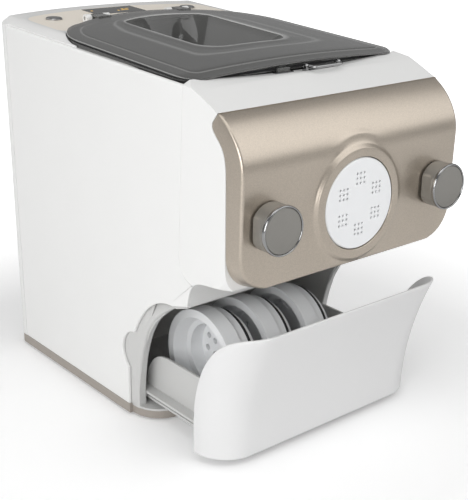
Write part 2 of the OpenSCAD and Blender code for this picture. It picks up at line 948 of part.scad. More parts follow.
module bay_shell() {
    edge = bay_edge();
    difference() {
        union() {
            both_sides() {
                translate([bay_half - bay_wall / 2, 0, 0])
                    across(bay_wall)
                        polygon(concat(edge, [[bay_back, bay_z + bay_wall], [bay_back, bay_floor]]));
                // rim turned into the bay along the opening
                translate([bay_half - rim_in / 2, 0, 0])
                    across(rim_in)
                        polygon(concat(edge, flip(shift(edge, [1.8, 1.8]))));
                // runner ledge
                box(runner_x - 2.3, bay_half - 0.1, wing_y - 7, bay_back, runner_z - 2.5 - fit, runner_z - fit);
            }
            box(-bay_half, bay_half, lintel_y + 3, bay_back, bay_z, bay_z + bay_wall);
            box(-bay_half, bay_half, bay_back - bay_wall, bay_back, bay_floor, bay_z + bay_wall);
            intersection() {
                translate([0, 0, bay_floor])
                    linear_extrude(height = bay_floor_t)
                        polygon(base_nose(skin_inset));
                box(-bay_half, bay_half, -big / 2, bay_back, 0, big);
            }
        }
        // room for the rear feet's cells and the skirt's rear step
        box(-hw, -bay_half, wing_y - 0.1, big, 0, sill_z);
    }
}

// ---------------------------------------------------------------- chamber

function trough(inset) =
    let (h = chamber_half - inset, r = trough_r - inset)
    concat(
        [[h, side_h + 60], [h, axis_z + 42]],
        arc([0, axis_z], r, -4, -176, 18),
        [[-h, axis_z + 42], [-h, side_h + 60]]
    );

module mixing_chamber() {
    color(smoke, 0.6)
    difference() {
        union() {
            intersection() {
                along(chamber_front, chamber_back)
                    polygon(trough(0));
                prism(chamber_plan(0), 0, big);
                below(seam_top, lid_edge_z - lid_t - seal_t - fit, lid_slope);
            }
            // rim flange, a wedge between the ledge and the lid's seal
            difference() {
                intersection() {
                    prism(lid_plan(0.3, seam_top + 0.5), side_h - 5, big);
                    below(seam_top, lid_edge_z - lid_t - seal_t - fit, lid_slope);
                }
                below(seam_top, side_h, side_slope);
            }
            ycyl(outlet_r, chamber_front - 5, chamber_front + 1, 0, axis_z);
            ycyl(12, chamber_back - 1, chamber_back + 4, 0, axis_z);
        }
        intersection() {
            along(chamber_front, chamber_back)
                polygon(trough(chamber_wall));
            prism(chamber_plan(chamber_wall), 0, big);
        }
        ycyl(bore_r, chamber_front - 6, chamber_front + 5, 0, axis_z);
        ycyl(shaft_r + 3.02, chamber_back - 5, chamber_back + 5, 0, axis_z);
    }
}

module shaft_seal() {
    color(black)
    difference() {
        ycyl(shaft_r + 3, chamber_back - chamber_wall, chamber_back + 4, 0, axis_z);
        ycyl(shaft_r + run, chamber_back - 5, chamber_back + 5, 0, axis_z);
    }
}

module chamber_seal() {
    color(black)
    intersection() {
        difference() {
            below(seam_top, lid_edge_z - lid_t - fit - 0.1, lid_slope);
            below(seam_top, lid_edge_z - lid_t - seal_t - fit, lid_slope);
            prism(chamber_plan(chamber_wall), 0, big);
        }
        prism(ring_plan(-0.6), side_h - 5, big);
    }
}

// ---------------------------------------------------------------- lid

// Everything under the lid's crowned top, lowered by drop
module under_lid(drop = 0) {
    r = lid_half * lid_half / (2 * lid_crown);
    translate([0, seam_top, lid_edge_z - drop])
        rotate([lid_slope, 0, 0])
            translate([0, 0, lid_crown - r])
                ycyl(r, -big / 2, big / 2, $fn = 1440);
}

// Filling hopper in the lid's own frame
module hopper(inset) {
    translate([0, seam_top, lid_edge_z])
        rotate([lid_slope, 0, 0])
            hull() {
                translate([0, 0, lid_crown + 1])
                    linear_extrude(height = 1)
                        polygon(plan(45 - inset, 52 + inset, 180 - inset, 10, 20, 8, 5));
                translate([0, 0, -hopper_depth + inset])
                    linear_extrude(height = 1)
                        polygon(plan(16 - inset, 66 + inset, 170 - inset, 4, 8, 6, 5));
            }
}

module lid() {
    color(smoke, 0.6)
    difference() {
        union() {
            difference() {
                intersection() {
                    under_lid();
                    prism(lid_plan(0, lid_front), side_h - 5, big);
                }
                under_lid(lid_t);
            }
            // skirt that meets the seal
            intersection() {
                under_lid(lid_t / 2);
                difference() {
                    prism(ring_plan(0), side_h - 5, big);
                    prism(ring_plan(2.2), side_h - 6, big);
                    below(seam_top, lid_edge_z - lid_t - fit, lid_slope);
                }
            }
            // hopper under the plate
            intersection() {
                hopper(0);
                under_lid(lid_t / 2);
            }
            // knuckles
            for (s = [-1, 1]) {
                xcyl(hinge_r, s * hinge_x - knuckle, s * hinge_x + knuckle, hinge_y, hinge_z);
                box(s * hinge_x - knuckle, s * hinge_x + knuckle, lid_rear - 12, hinge_y,
                    hinge_z + 0.6, hinge_z + hinge_r - 0.4);
            }
            // tab that works the switch
            box(slot_x - 6, slot_x + 6, seam_top - 3.8, seam_top - 2.3,
                side_h - 4, lid_edge_z + 2);
        }
        hopper(2.2);
        for (k = [-1, 0, 1])
            box(-12, 12, seam_top + 88 + k * 9, seam_top + 91 + k * 9, side_h - 40, lid_z(0) - 10);
        for (s = [-1, 1])
            xcyl(pin_r + run, s * hinge_x - 8, s * hinge_x + 8, hinge_y, hinge_z);
    }
}

module hinge_pins() {
    color(steel)
    for (s = [-1, 1])
        xcyl(pin_r, s * hinge_x - 12, s * hinge_x + 12, hinge_y, hinge_z);
}

// ---------------------------------------------------------------- stirring and feeding

hub_r = 9;
paddle_r = trough_r - 6;
hub_front = chamber_front + 10;
hub_back = chamber_back - chamber_wall - 0.6;
arm_pitch = 40;

module stirring_paddle() {
    color(nylon)
    difference() {
        union() {
            ycyl(hub_r, hub_front, hub_back, 0, axis_z);
            for (k = [0:3])
                translate([0, hub_back - 24 - k * arm_pitch, axis_z])
                    rotate([0, 90 * k, 0]) {
                        translate([0, -4, -3])
                            cube([paddle_r, 8, 6]);
                        // scraper bar at the arm's end, feathered towards the nose
                        translate([paddle_r - 5, -13, -7])
                            cube([5, 26, 14]);
                    }
        }
        ycyl(shaft_r, hub_back - 22, hub_back + 1, 0, axis_z);
        ycyl(shaft_r, hub_front - 1, hub_front + 14, 0, axis_z);
    }
}

auger_turns = 2;

module feed_auger() {
    len = hub_front - auger_front;
    color(nylon)
    union() {
        ycyl(7, auger_front, hub_front, 0, axis_z);
        ycyl(shaft_r, hub_front - 0.5, hub_front + 14, 0, axis_z);
        translate([0, hub_front, axis_z])
            rotate([90, 0, 0])
                linear_extrude(height = len, twist = 360 * auger_turns, slices = 44, $fn = 24)
                    translate([5.5, -1.8])
                        square([auger_r - 5.5, 3.6]);
    }
}

module extruder_tube() {
    color(steel)
    difference() {
        union() {
            ycyl(tube_r, disc_back + fit, chamber_front - 5 - fit, 0, axis_z);
            ycyl(disc_flange_r, disc_back + fit, disc_back + 7, 0, axis_z);
            ycyl(tube_r + 4, disc_back + 6, disc_back + 11, 0, axis_z, tube_r);
        }
        ycyl(bore_r, disc_back - 1, chamber_front, 0, axis_z);
    }
}

// A shaping disc in its own frame: back at z = 0, working face at z = disc_len
module disc_body(plate) {
    difference() {
        rotate_extrude($fn = 96)
            polygon([
                [35, 0], [disc_flange_r, 0], [disc_flange_r, flange_t], [step_r, flange_t + 0.8],
                [step_r, flange_t + step_t], [disc_face_r, flange_t + step_t + 0.6],
                [disc_face_r, disc_len - 0.8], [disc_face_r - 0.8, disc_len],
                [0, disc_len], [0, disc_len - plate], [27, disc_len - plate],
                [27, 12], [31, 10.5], [33.5, 4]
            ]);
        // locating notch in the flange
        translate([-4, disc_flange_r - 4.2, -1])
            cube([8, 6, 6]);
    }
}

hole_ring = 19;
hole_pitch = 3.6;
hole_r = 1;

module mounted_disc() {
    color([0.90, 0.92, 0.94])
    translate([0, disc_back, axis_z])
        rotate([90, 0, 0])
            difference() {
                disc_body(6);
                for (k = [0:5])
                    rotate([0, 0, 60 * k + 30])
                        translate([hole_ring, 0, 0]) {
                            translate([0, 0, disc_len - 7])
                                cylinder(r = 6.6, h = 5);
                            for (i = [-1:1], j = [-1:1])
                                rotate([0, 0, -60 * k - 30])
                                    translate([i * hole_pitch, j * hole_pitch, disc_len - 3])
                                        cylinder(r = hole_r, h = 4, $fn = 16);
                        }
            }
}

module stored_disc(k) {
    color([0.93, 0.93, 0.93])
    translate([disc_xs[k], disc_row_y, disc_z])
        rotate([0, 90, 0])
            rotate([0, 0, 180])
                difference() {
                    disc_body(8);
                    if (k == 0)
                        for (ring = [[6, 12, 2.6], [11, 20, 2.6]])
                            for (i = [0:ring[0] - 1])
                                rotate([0, 0, 360 * i / ring[0]])
                                    translate([ring[1], 0, disc_len - 9])
                                        cylinder(r = ring[2], h = 12, $fn = 24);
                    if (k == 1)
                        for (i = [0:3])
                            rotate([0, 0, 90 * i])
                                translate([-10, 15, disc_len - 9])
                                    cube([20, 2.4, 12]);
                    if (k == 2)
                        for (i = [0:7])
                            rotate([0, 0, 45 * i])
                                translate([16, -1.2, disc_len - 9])
                                    cube([9, 2.4, 12]);
                }
}

module stored_disc_a() {
    stored_disc(0);
}

module stored_disc_b() {
    stored_disc(1);
}

module stored_disc_c() {
    stored_disc(2);
}

module disc_gaskets() {
    color(black)
    for (x = disc_xs)
        difference() {
            xcyl(disc_face_r + 3, x + flange_t + step_t + 0.7, x + flange_t + step_t + 4,
                disc_row_y, disc_z);
            xcyl(disc_face_r, x + flange_t, x + disc_len, disc_row_y, disc_z);
        }
}

// ---------------------------------------------------------------- front panel and knobs

// Limits of the front panel's outline: its lower edge drops towards the back
module panel_block(inset) {
    translate([0, panel_y, axis_z - panel_drop + inset])
        rotate([-atan(panel_tuck / panel_d), 0, 0])
            along(-20, 60)
                polygon(panel_outline(inset, 27));
}

module front_panel() {
    color(champagne)
    difference() {
        union() {
            difference() {
                intersection() {
                    across(body_w)
                        polygon(concat(panel_face(), flip(panel_edge())));
                    panel_block(0);
                }
                intersection() {
                    across(body_w)
                        offset(delta = -wall)
                            polygon(concat(panel_face(), [[panel_back + 30, panel_foot - 6],
                                [panel_back + 30, axis_z + panel_rise]]));
                    panel_block(wall);
                }
            }
            // collar round the disc, flared into the face
            intersection() {
                translate([0, disc_y, axis_z])
                    rotate([-90, 0, 0])
                        rotate_extrude($fn = 96)
                            polygon(concat(
                                [[disc_face_r + 0.6, 0], [40.6, 0], [41.4, 0.7]],
                                bez([42.4, 1.6], [43.6, 3.2], [45, collar_proud - 0.6],
                                    [50, collar_proud + 0.1], 5),
                                [[46, collar_proud + 1], [disc_face_r + 0.6, collar_proud + 1]]
                            ));
                panel_block(0);
            }
            // wall of the collar's pocket
            ycyl(44, panel_y + 0.5, disc_y + 12, 0, axis_z);
            // bosses round the knob studs, seated on the nose
            for (x = [-knob_x, knob_x])
                ycyl(10, panel_y + 1.2, panel_back, x, axis_z);
        }
        ycyl(disc_face_r + 0.6, disc_y - 1, disc_y + 20, 0, axis_z);
        ycyl(step_r + 0.5, disc_back - flange_t - step_t - 1, disc_y + 30, 0, axis_z);
        ycyl(disc_flange_r + 0.4, disc_back - flange_t - 0.4, disc_y + 30, 0, axis_z);
        for (x = [-knob_x, knob_x])
            ycyl(stud_r + 0.4, panel_y - 5, panel_back + 5, x, axis_z);
    }
}

grip_back = y_front + knob_len;
ring_t = 3;

module knob() {
    difference() {
        union() {
            ycyl(knob_r - 0.6, y_front + ring_t, grip_back, 0, axis_z);
            ycyl(knob_r - 1.6, y_front + 0.3, y_front + ring_t, 0, axis_z);
        }
        // grip flats
        for (s = [-1, 1])
            box(s > 0 ? 14.6 : -30, s > 0 ? 30 : -14.6, y_front + 5.5, grip_back + 1,
                axis_z - 30, axis_z + 30);
        ycyl(stud_r, grip_back - 10, grip_back + 1, 0, axis_z);
    }
}

module knob_ring() {
    difference() {
        union() {
            ycyl(knob_r - 0.7, y_front, y_front + 0.7, 0, axis_z, knob_r);
            ycyl(knob_r, y_front + 0.7, y_front + ring_t, 0, axis_z);
        }
        ycyl(knob_r - 1.6, y_front - 1, y_front + ring_t + 1, 0, axis_z);
    }
}

module knob_stud() {
    union() {
        ycyl(stud_r, grip_back - 10, panel_back + 13, 0, axis_z);
        ycyl(6.5, grip_back, panel_y - 1.3, 0, axis_z);
    }
}

module left_knob() {
    color(knob_grey)
        translate([-knob_x, 0, 0])
            knob();
}

module right_knob() {
    color(knob_grey)
        translate([knob_x, 0, 0])
            knob();
}

module left_knob_ring() {
    color(bright)
        translate([-knob_x, 0, 0])
            knob_ring();
}

module right_knob_ring() {
    color(bright)
        translate([knob_x, 0, 0])
            knob_ring();
}

module left_knob_stud() {
    color(steel)
        translate([-knob_x, 0, 0])
            knob_stud();
}

module right_knob_stud() {
    color(steel)
        translate([knob_x, 0, 0])
            knob_stud();
}

// ---------------------------------------------------------------- drawer

function face_y(z) = front_foot_y - drawer_open - drawer_flare * pow(z / drawer_top, 2);

// Section of the drawer front at height z, as a thin U seen from above
function front_section(z) =
    let (
        yf = face_y(z),
        rear = wing_y - drawer_open,
        w = drawer_wall,
        outer = concat([[-hw, rear]], arc([-hw + front_r, yf + front_r], front_r, 180, 270, 8),
            arc([hw - front_r, yf + front_r], front_r, 270, 360, 8), [[hw, rear]]),
        inner = concat([[-hw + w, rear]], arc([-hw + front_r, yf + front_r], front_r - w, 180, 270, 8),
            arc([hw - front_r, yf + front_r], front_r - w, 270, 360, 8), [[hw - w, rear]])
    )
    concat(outer, flip(inner));

drawer_foot = foot_proud + 4;
front_levels = 9;

module drawer_front() {
    zs = [for (i = [0:front_levels]) drawer_foot + (drawer_top - drawer_foot) * i / front_levels];
    rings = [for (z = zs) front_section(z)];
    m = len(rings[0]);
    half = m / 2;
    points = [for (i = [0:front_levels]) for (p = rings[i]) [p[0], p[1], zs[i]]];
    walls = [for (i = [0:front_levels - 1]) for (j = [0:m - 1])
        [i * m + j, (i + 1) * m + j, (i + 1) * m + (j + 1) % m, i * m + (j + 1) % m]];
    foot_cap = [for (j = [0:half - 2]) [j, j + 1, m - 2 - j, m - 1 - j]];
    top_cap = [for (f = foot_cap) [for (k = [3:-1:0]) f[k] + front_levels * m]];
    color(white)
    intersection() {
        polyhedron(points = points, faces = concat(walls, foot_cap, top_cap), convexity = 6);
        across(body_w + 2)
            polygon(concat(
                [[wing_y - drawer_open, drawer_foot - 1]],
                wing(0, 0, -drawer_open),
                [[wing_y - drawer_open - 100, drawer_top], [wing_y - drawer_open - 100, drawer_foot - 1]]
            ));
    }
}

module disc_tray() {
    front = face_y(tray_top - 2) + drawer_wall;
    color(grey_white)
    difference() {
        intersection() {
            union() {
                box(-tray_half, tray_half, front - 5, tray_rear, tray_top - 2, tray_top);
                both_sides() {
                    translate([tray_half - tray_wall / 2, 0, 0])
                        across(tray_wall)
                            polygon(concat(
                                [[front - 5, tray_top - 2], [tray_rear, tray_top - 2], [tray_rear, 25]],
                                bez([tray_rear - 1.5, 34], [tray_rear - 6, 46], [tray_rear - 13, tray_rim],
                                    [tray_rear - 28, tray_rim + 0.5], 6),
                                [[front - 5, tray_rim]]
                            ));
                    box(tray_half - 1, runner_x, front - 5, tray_rear, runner_z, runner_z + 2.2);
                    box(tray_half - 1, tray_half + 5.5, front - 5, tray_rear, runner_z - 6, runner_z - 4);
                }
                box(-tray_half, tray_half, tray_rear - tray_wall, tray_rear, tray_top - 2, 26);
                // saddle that the discs stand in
                box(-74, 46, disc_row_y - 26, disc_row_y + 26, tray_top - 1, tray_top + 8);
            }
            prism(plan(hw - drawer_wall, front, tray_rear + 60, 1, front_r - drawer_wall, 5), 0, big);
        }
        xcyl(disc_flange_r + fit, -75, 47, disc_row_y, disc_z);
    }
}

// ---------------------------------------------------------------- drive

function inv(a) = tan(a) * 180 / PI - a;

pressure = 25;
addendum = 0.8;
dedendum = 1.1;
backlash = 0.12;

// Half angle of a tooth of n teeth and module m at radius r
function tooth_half(n, m, r) =
    let (
        rp = m * n / 2,
        rb = rp * cos(pressure),
        a = r > rb ? acos(rb / r) : 0
    )
    90 / n - backlash / rp * 90 / PI + inv(pressure) - inv(a);

// Involute spur gear in the XZ plane with a tooth pointing up at phase 0
module spur(n, m, y0, y1, z, phase, bore) {
    rp = m * n / 2;
    rt = rp + addendum * m;
    rr = rp - dedendum * m;
    rs = max(rr + 0.01, rp * cos(pressure));
    radii = [rr, rs, (rs + rp) / 2 + 0.1 * m, rp + 0.35 * m, rt];
    pts = [for (i = [0:n - 1]) let (c = 90 + phase + 360 * i / n) each concat(
        [for (r = radii) let (a = c - tooth_half(n, m, r)) r * [cos(a), sin(a)]],
        [for (k = [4:-1:0]) let (r = radii[k], a = c + tooth_half(n, m, r)) r * [cos(a), sin(a)]]
    )];
    difference() {
        translate([0, y1, z])
            rotate([90, 0, 0])
                linear_extrude(height = y1 - y0)
                    polygon(pts);
        if (bore > 0)
            ycyl(bore, y0 - 1, y1 + 1, 0, z);
    }
}

// A driven gear shows a gap to the tooth that points up at it
function gap_phase(n) = n % 2 == 0 ? 180 / n : 0;

module motor_can() {
    y1 = box_front;
    y0 = y1 - motor_len;
    color(steel)
    difference() {
        ycyl(motor_r, y0, y1, 0, z_motor);
        ycyl(motor_r - 2, y0 + 3, y1 - 3, 0, z_motor);
        ycyl(6, y0 - 1, y1 + 1, 0, z_motor);
        for (k = [0:7])
            translate([0, y0 - 1, z_motor])
                rotate([0, 45 * k, 0])
                    translate([18, 0, -2.5])
                        cube([10, 5, 5]);
    }
}

module rotor_shaft() {
    y1 = box_front;
    y0 = y1 - motor_len;
    color(steel)
    union() {
        ycyl(rotor_r, y0 - 11, stage_a + stage_w, 0, z_motor);
        ycyl(motor_r - 8, y0 + 9, y1 - 9, 0, z_motor);
    }
}

fan_r = 31;

module cooling_fan() {
    y1 = box_front - motor_len - 2;
    color(nylon)
    difference() {
        union() {
            ycyl(8, y1 - 8, y1, 0, z_motor);
            for (k = [0:8])
                translate([0, y1 - 4, z_motor])
                    rotate([0, 40 * k, 0])
                        rotate([35, 0, 0])
                            translate([6, -0.8, -4])
                                cube([fan_r - 6, 1.6, 8]);
        }
        ycyl(rotor_r, y1 - 9, y1 + 1, 0, z_motor);
    }
}

module motor_pinion() {
    color(brass)
        spur(pinion_teeth, module_a, stage_a - 0.5, stage_a + stage_w, z_motor, 0, rotor_r);
}

module gear_a() {
    color(nylon)
    difference() {
        union() {
            spur(gear_a_teeth, module_a, stage_a, stage_a + 5, z_gear_a, gap_phase(gear_a_teeth), 0);
            spur(small_b_teeth, module_b, stage_a + 4.9, stage_b + stage_w, z_gear_a, 0, 0);
        }
        ycyl(axle_r + run, stage_a - 1, stage_c, 0, z_gear_a);
    }
}

module gear_b() {
    color(nylon)
    difference() {
        union() {
            spur(gear_b_teeth, module_b, stage_b, stage_b + 5, z_gear_b, gap_phase(gear_b_teeth), 0);
            spur(small_c_teeth, module_c, stage_b + 4.9, stage_c + stage_w, z_gear_b, 0, 0);
        }
        ycyl(axle_r + run, stage_b - 1, stage_c + 9, 0, z_gear_b);
    }
}

module output_gear() {
    color(nylon)
        spur(gear_c_teeth, module_c, stage_c, stage_c + 5, axis_z, gap_phase(gear_c_teeth), shaft_r);
}

module drive_shaft() {
    color(steel)
        ycyl(shaft_r, hub_back - 21, box_back + plate_t, 0, axis_z);
}

module box_plate(y) {
    difference() {
        box(-plate_half, plate_half, y, y + plate_t, floor_z, axis_z + 38);
        ycyl(bush_r, y - 1, y + plate_t + 1, 0, axis_z);
        ycyl(axle_r, y - 1, y + plate_t + 1, 0, z_gear_a);
        ycyl(axle_r, y - 1, y + plate_t + 1, 0, z_gear_b);
    }
}

module gearbox_front_plate() {
    color(steel)
    difference() {
        box_plate(box_front);
        ycyl(8, box_front - 1, box_front + plate_t + 1, 0, z_motor);
    }
}

module gearbox_rear_plate() {
    color(steel)
        box_plate(box_back);
}

module gearbox_spacers() {
    color(bright)
    for (x = [-spacer_x, spacer_x], z = [z_motor - 30, axis_z + 32])
        ycyl(4, box_front + plate_t, box_back, x, z);
}

module gear_axles() {
    color(steel)
    for (z = [z_gear_a, z_gear_b])
        ycyl(axle_r, box_front, box_back + plate_t, 0, z);
}

module bushes() {
    color(brass)
    union() {
        for (y = [box_front, box_back])
            difference() {
                ycyl(bush_r, y, y + plate_t, 0, axis_z);
                ycyl(shaft_r + run, y - 1, y + plate_t + 1, 0, axis_z);
            }
        for (y = [box_front - motor_len, box_front - 4])
            difference() {
                ycyl(6, y, y + 4, 0, z_motor);
                ycyl(rotor_r + run, y - 1, y + 5, 0, z_motor);
            }
    }
}

board_z = 14;
board_posts_x = [52, 88];
board_posts_y = [bay_back + 13, bay_back + 38];

module power_board() {
    color(board_green)
    union() {
        box(46, 94, bay_back + 8, bay_back + 44, board_z, board_z + 1.6);
        translate([62, bay_back + 26, board_z + 1])
            cylinder(r = 8, h = 24);
        box(76, 92, bay_back + 18, bay_back + 34, board_z + 1, board_z + 17);
    }
}

// ---------------------------------------------------------------- nodes

base_plate();
rubber_feet();
load_cells();
left_side_panel();
right_side_panel();
rear_cover();
top_deck();
nose_housing();
drawer_bay();
control_inlay();
display_window();
control_board();
power_button();
start_button();
mixing_chamber();
chamber_seal();
lid();
hinge_pins();
latch_bracket();
latch_bail();
lid_switch();
stirring_paddle();
feed_auger();
extruder_tube();
mounted_disc();
front_panel();
left_knob();
right_knob();
left_knob_ring();
right_knob_ring();
left_knob_stud();
right_knob_stud();
threaded_inserts();
motor_can();
rotor_shaft();
cooling_fan();
motor_pinion();
gear_a();
gear_b();
output_gear();
drive_shaft();
gearbox_front_plate();
gearbox_rear_plate();
gearbox_spacers();
gear_axles();
bushes();
shaft_seal();
power_board();
cord_gland();
drawer_front();
disc_tray();
stored_disc_a();
stored_disc_b();
stored_disc_c();
disc_gaskets();
base_screws();
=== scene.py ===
"""Looks of the electric pasta maker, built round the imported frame.

Sizes in the classes are millimetres in the frame's own axes: X across, Y from
the front to the rear, Z up. Meshes are written in metres.
"""

import json
import logging
import math
from dataclasses import dataclass
from enum import Enum

import bmesh
import bpy
import numpy as np
from mathutils import Matrix, Vector


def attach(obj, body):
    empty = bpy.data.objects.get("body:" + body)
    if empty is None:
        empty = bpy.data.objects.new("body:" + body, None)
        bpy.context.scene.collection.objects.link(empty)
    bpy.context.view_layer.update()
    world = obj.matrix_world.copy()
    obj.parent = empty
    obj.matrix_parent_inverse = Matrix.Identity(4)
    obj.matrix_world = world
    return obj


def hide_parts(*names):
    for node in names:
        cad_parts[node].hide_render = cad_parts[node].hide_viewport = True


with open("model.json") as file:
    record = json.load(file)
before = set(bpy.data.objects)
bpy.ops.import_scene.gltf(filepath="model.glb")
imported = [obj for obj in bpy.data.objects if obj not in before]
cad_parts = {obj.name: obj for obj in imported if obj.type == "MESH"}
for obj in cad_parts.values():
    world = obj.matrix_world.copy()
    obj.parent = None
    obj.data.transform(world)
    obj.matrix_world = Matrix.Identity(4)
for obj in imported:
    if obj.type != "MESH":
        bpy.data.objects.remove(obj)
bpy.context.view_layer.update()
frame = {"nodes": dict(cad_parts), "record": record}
LOG = logging.getLogger("pasta_maker")
MM = 0.001
TINY = 1e-9
SIDES = ((-1, "left"), (1, "right"))
Colour = tuple[float, float, float]
Corner = tuple[float, float, float]


# ------------------------------------------------------------------ curves


def bezier(corners: list[tuple[float, float]], count: int) -> np.ndarray:
    """Cubic curve in a plane: the four corners weighted s^3, 3 s^2 t, 3 s t^2 and t^3.

    Args:
        corners: The curve's two ends and, between them, its two handles.
        count: Number of points.

    Returns:
        Points, one row each.
    """
    t = np.linspace(0.0, 1.0, count)[:, None]
    s = 1.0 - t
    a, b, c, d = (np.array(corner, float) for corner in corners)
    return s**3 * a + 3 * s**2 * t * b + 3 * s * t**2 * c + t**3 * d


def arc(centre: tuple[float, float], radius: float, start: float, stop: float, count: int) -> np.ndarray:
    """Points on a circle: the centre plus radius times (cos, sin), angles in degrees."""
    turn = np.radians(np.linspace(start, stop, count))
    return np.array(centre) + radius * np.stack([np.cos(turn), np.sin(turn)], axis=1)


def soft_low(first: np.ndarray, second: np.ndarray, soft: float) -> np.ndarray:
    """Lower of two heights with a rounded crease: half of (a + b - root((a - b)^2 + soft^2))."""
    return (first + second - np.sqrt((first - second) ** 2 + soft**2)) / 2


def soft_step(value: np.ndarray, low: float, high: float) -> np.ndarray:
    """Rises from 0 to 1 between low and high as 3 t^2 - 2 t^3."""
    t = np.clip((value - low) / (high - low), 0.0, 1.0)
    return t * t * (3 - 2 * t)


def unit(vectors: np.ndarray) -> np.ndarray:
    """Vectors of length 1 in the same directions, one row each."""
    return vectors / np.maximum(np.linalg.norm(vectors, axis=1, keepdims=True), TINY)


def left_of(vectors: np.ndarray) -> np.ndarray:
    """Vectors in a plane, turned a quarter counter-clockwise."""
    return np.stack([-vectors[:, 1], vectors[:, 0]], axis=1)


def inset(outline: np.ndarray, depth: np.ndarray) -> np.ndarray:
    """Moves a closed outline that runs counter-clockwise inwards.

    Each point moves along the mean of its two edges' normals, by depth divided
    by the cosine of half the turn, so that both edges keep their distance.

    Args:
        outline: Points, one row each.
        depth: Distance for each point, or one for all.

    Returns:
        The moved points.
    """
    ahead = unit(np.roll(outline, -1, axis=0) - outline)
    normal = unit(left_of(ahead + np.roll(ahead, 1, axis=0)))
    spread = np.clip(np.sum(normal * left_of(ahead), axis=1), 0.5, 1.0)
    return outline + normal * (np.broadcast_to(depth, spread.shape) / spread)[:, None]


# ------------------------------------------------------------------ measures


@dataclass(frozen=True)
class Machine:
    """Sizes that several pieces share, and the curves that they lie on."""

    half: float = 107.5
    wall: float = 2.5
    front: float = -178.0
    axis_z: float = 195.5
    panel_y: float = -160.9
    panel_back: float = -145.5
    panel_foot: float = 146.3
    panel_top: float = 270.3
    disc_y: float = -165.4
    seam_top: float = -98.5
    seam_bottom: float = -92.5
    sill: float = 10.0
    rear_foot: float = 156.865
    wing_y: float = -23.335
    wing_reach: float = 60.0
    wing_foot: float = 30.0
    wing_rise: float = 83.5
    drawer_foot: float = -140.235
    drawer_top: float = 113.5
    drawer_open: float = 85.0
    drawer_corner: float = 30.0
    drawer_flare: float = 26.9
    knob_x: float = 84.0

    def side_top(self, y: float) -> float:
        """Height of the side panels' top edge."""
        return 283.0 + (y - self.seam_top) * math.tan(math.radians(2.85))

    def rear(self, z: float) -> float:
        """Rear corner line, which leans forwards going down."""
        return self.rear_foot + z * math.tan(math.radians(0.5))

    def under(self, last: float) -> np.ndarray:
        """Underside of the nose from the lintel towards the panel, up to a share of the curve."""
        ends = [(self.seam_bottom - 9, 121.0), (self.seam_bottom - 12, 149.0), (self.panel_back + 26, 145.5)]
        curve = bezier([*ends, (self.panel_back + 0.4, self.panel_foot)], 81)
        return curve[: int(round(80 * last)) + 1]

    def face(self, z: np.ndarray) -> np.ndarray:
        """Depth of the front panel's face: upright below, rolled back at its brow."""
        brow = bezier([(self.panel_back + 8.6, self.panel_top), (self.panel_back - 1, 266.0),
                       (self.panel_y - 1.6, 252.0), (self.panel_y - 1.6, 232.0)], 60)
        whole = np.concatenate([brow, [(self.panel_y, 171.5), (self.panel_y, 100.0)]])[::-1]
        return np.interp(z, whole[:, 1], whole[:, 0])

    def panel_rear(self, z: np.ndarray) -> np.ndarray:
        """Rear edge of the front panel's side walls: straight below, an S under the brow."""
        back = self.panel_back
        upper = bezier([(back + 14.4, 263.0), (back + 16, 258.5), (back + 11, 255.5), (back + 7, 251.0)], 16)
        lower = bezier([(back + 5, 248.5), (back + 1.5, 244.5), (back, 237.0), (back, 225.5)], 16)
        whole = np.concatenate([[(back + 8.6, self.panel_top)], upper, lower, [(back, 100.0)]])[::-1]
        return np.interp(z, whole[:, 1], whole[:, 0])

    def drawer_face(self, z: np.ndarray) -> np.ndarray:
        """Depth of the drawer's front, which flares forwards with the square of the height."""
        return self.drawer_foot - self.drawer_flare * (z / self.drawer_top) ** 2


SIZE = Machine()


def closed_spacing(outline: np.ndarray, step: float) -> np.ndarray:
    """Adds points along a closed outline so that none are further apart than a step.

    Args:
        outline: Corner points, kept where they are.
        step: Longest distance in millimetres.

    Returns:
        The denser outline.
    """
    ahead = np.roll(outline, -1, axis=0)
    counts = np.maximum(np.ceil(np.linalg.norm(ahead - outline, axis=1) / step), 1).astype(int)
    start = np.repeat(np.arange(len(outline)), counts)
    share = (np.arange(counts.sum()) - np.repeat(np.cumsum(counts) - counts, counts)) / counts[start]
    return outline[start] + (ahead - outline)[start] * share[:, None]


def plan_outline(
    half: float, front: float, rear: float, bow: float, round_front: float, round_rear: float
) -> np.ndarray:
    """Outline seen from above: round front corners, round rear corners and a bowed rear.

    The rear follows rear + bow (1 - (x / half)^2).

    Args:
        half: Half the width.
        front: Front edge.
        rear: Where the rear meets the straight sides.
        bow: How far the rear's middle stands behind that.
        round_front: Radius of the front corners.
        round_rear: Size of the rear corners.

    Returns:
        Points, counter-clockwise from the left side.
    """
    q = half - round_rear
    reach = rear + bow * (1 - (q / half) ** 2)
    corner = bezier([(half, rear - round_rear), (half, rear - round_rear * 0.4),
                     (half - round_rear * 0.4, reach - round_rear * 0.12), (q, reach)], 18)
    x = q * np.linspace(1, -1, 41)[1:-1]
    back = np.stack([x, rear + bow * (1 - (x / half) ** 2)], axis=1)
    return np.concatenate([
        arc((round_front - half, front + round_front), round_front, 180, 270, 16),
        arc((half - round_front, front + round_front), round_front, 270, 360, 16),
        corner, back, (corner * (-1, 1))[::-1],
    ])


def fillet(radius: np.ndarray | float, steps: int = 6) -> list[tuple[np.ndarray, np.ndarray]]:
    """Quarter circle over an edge, as pairs of distance from the edge and depth under the face."""
    turns = np.radians(np.linspace(0, 90, steps))
    return [(radius * (1 - np.cos(turn)), radius * (1 - np.sin(turn))) for turn in turns]


def upright(ring: np.ndarray, y: np.ndarray | float) -> np.ndarray:
    """Ring of X, Z at a depth or depths, as X, Y, Z."""
    return np.stack([ring[:, 0], np.broadcast_to(y, len(ring)), ring[:, 1]], axis=1)


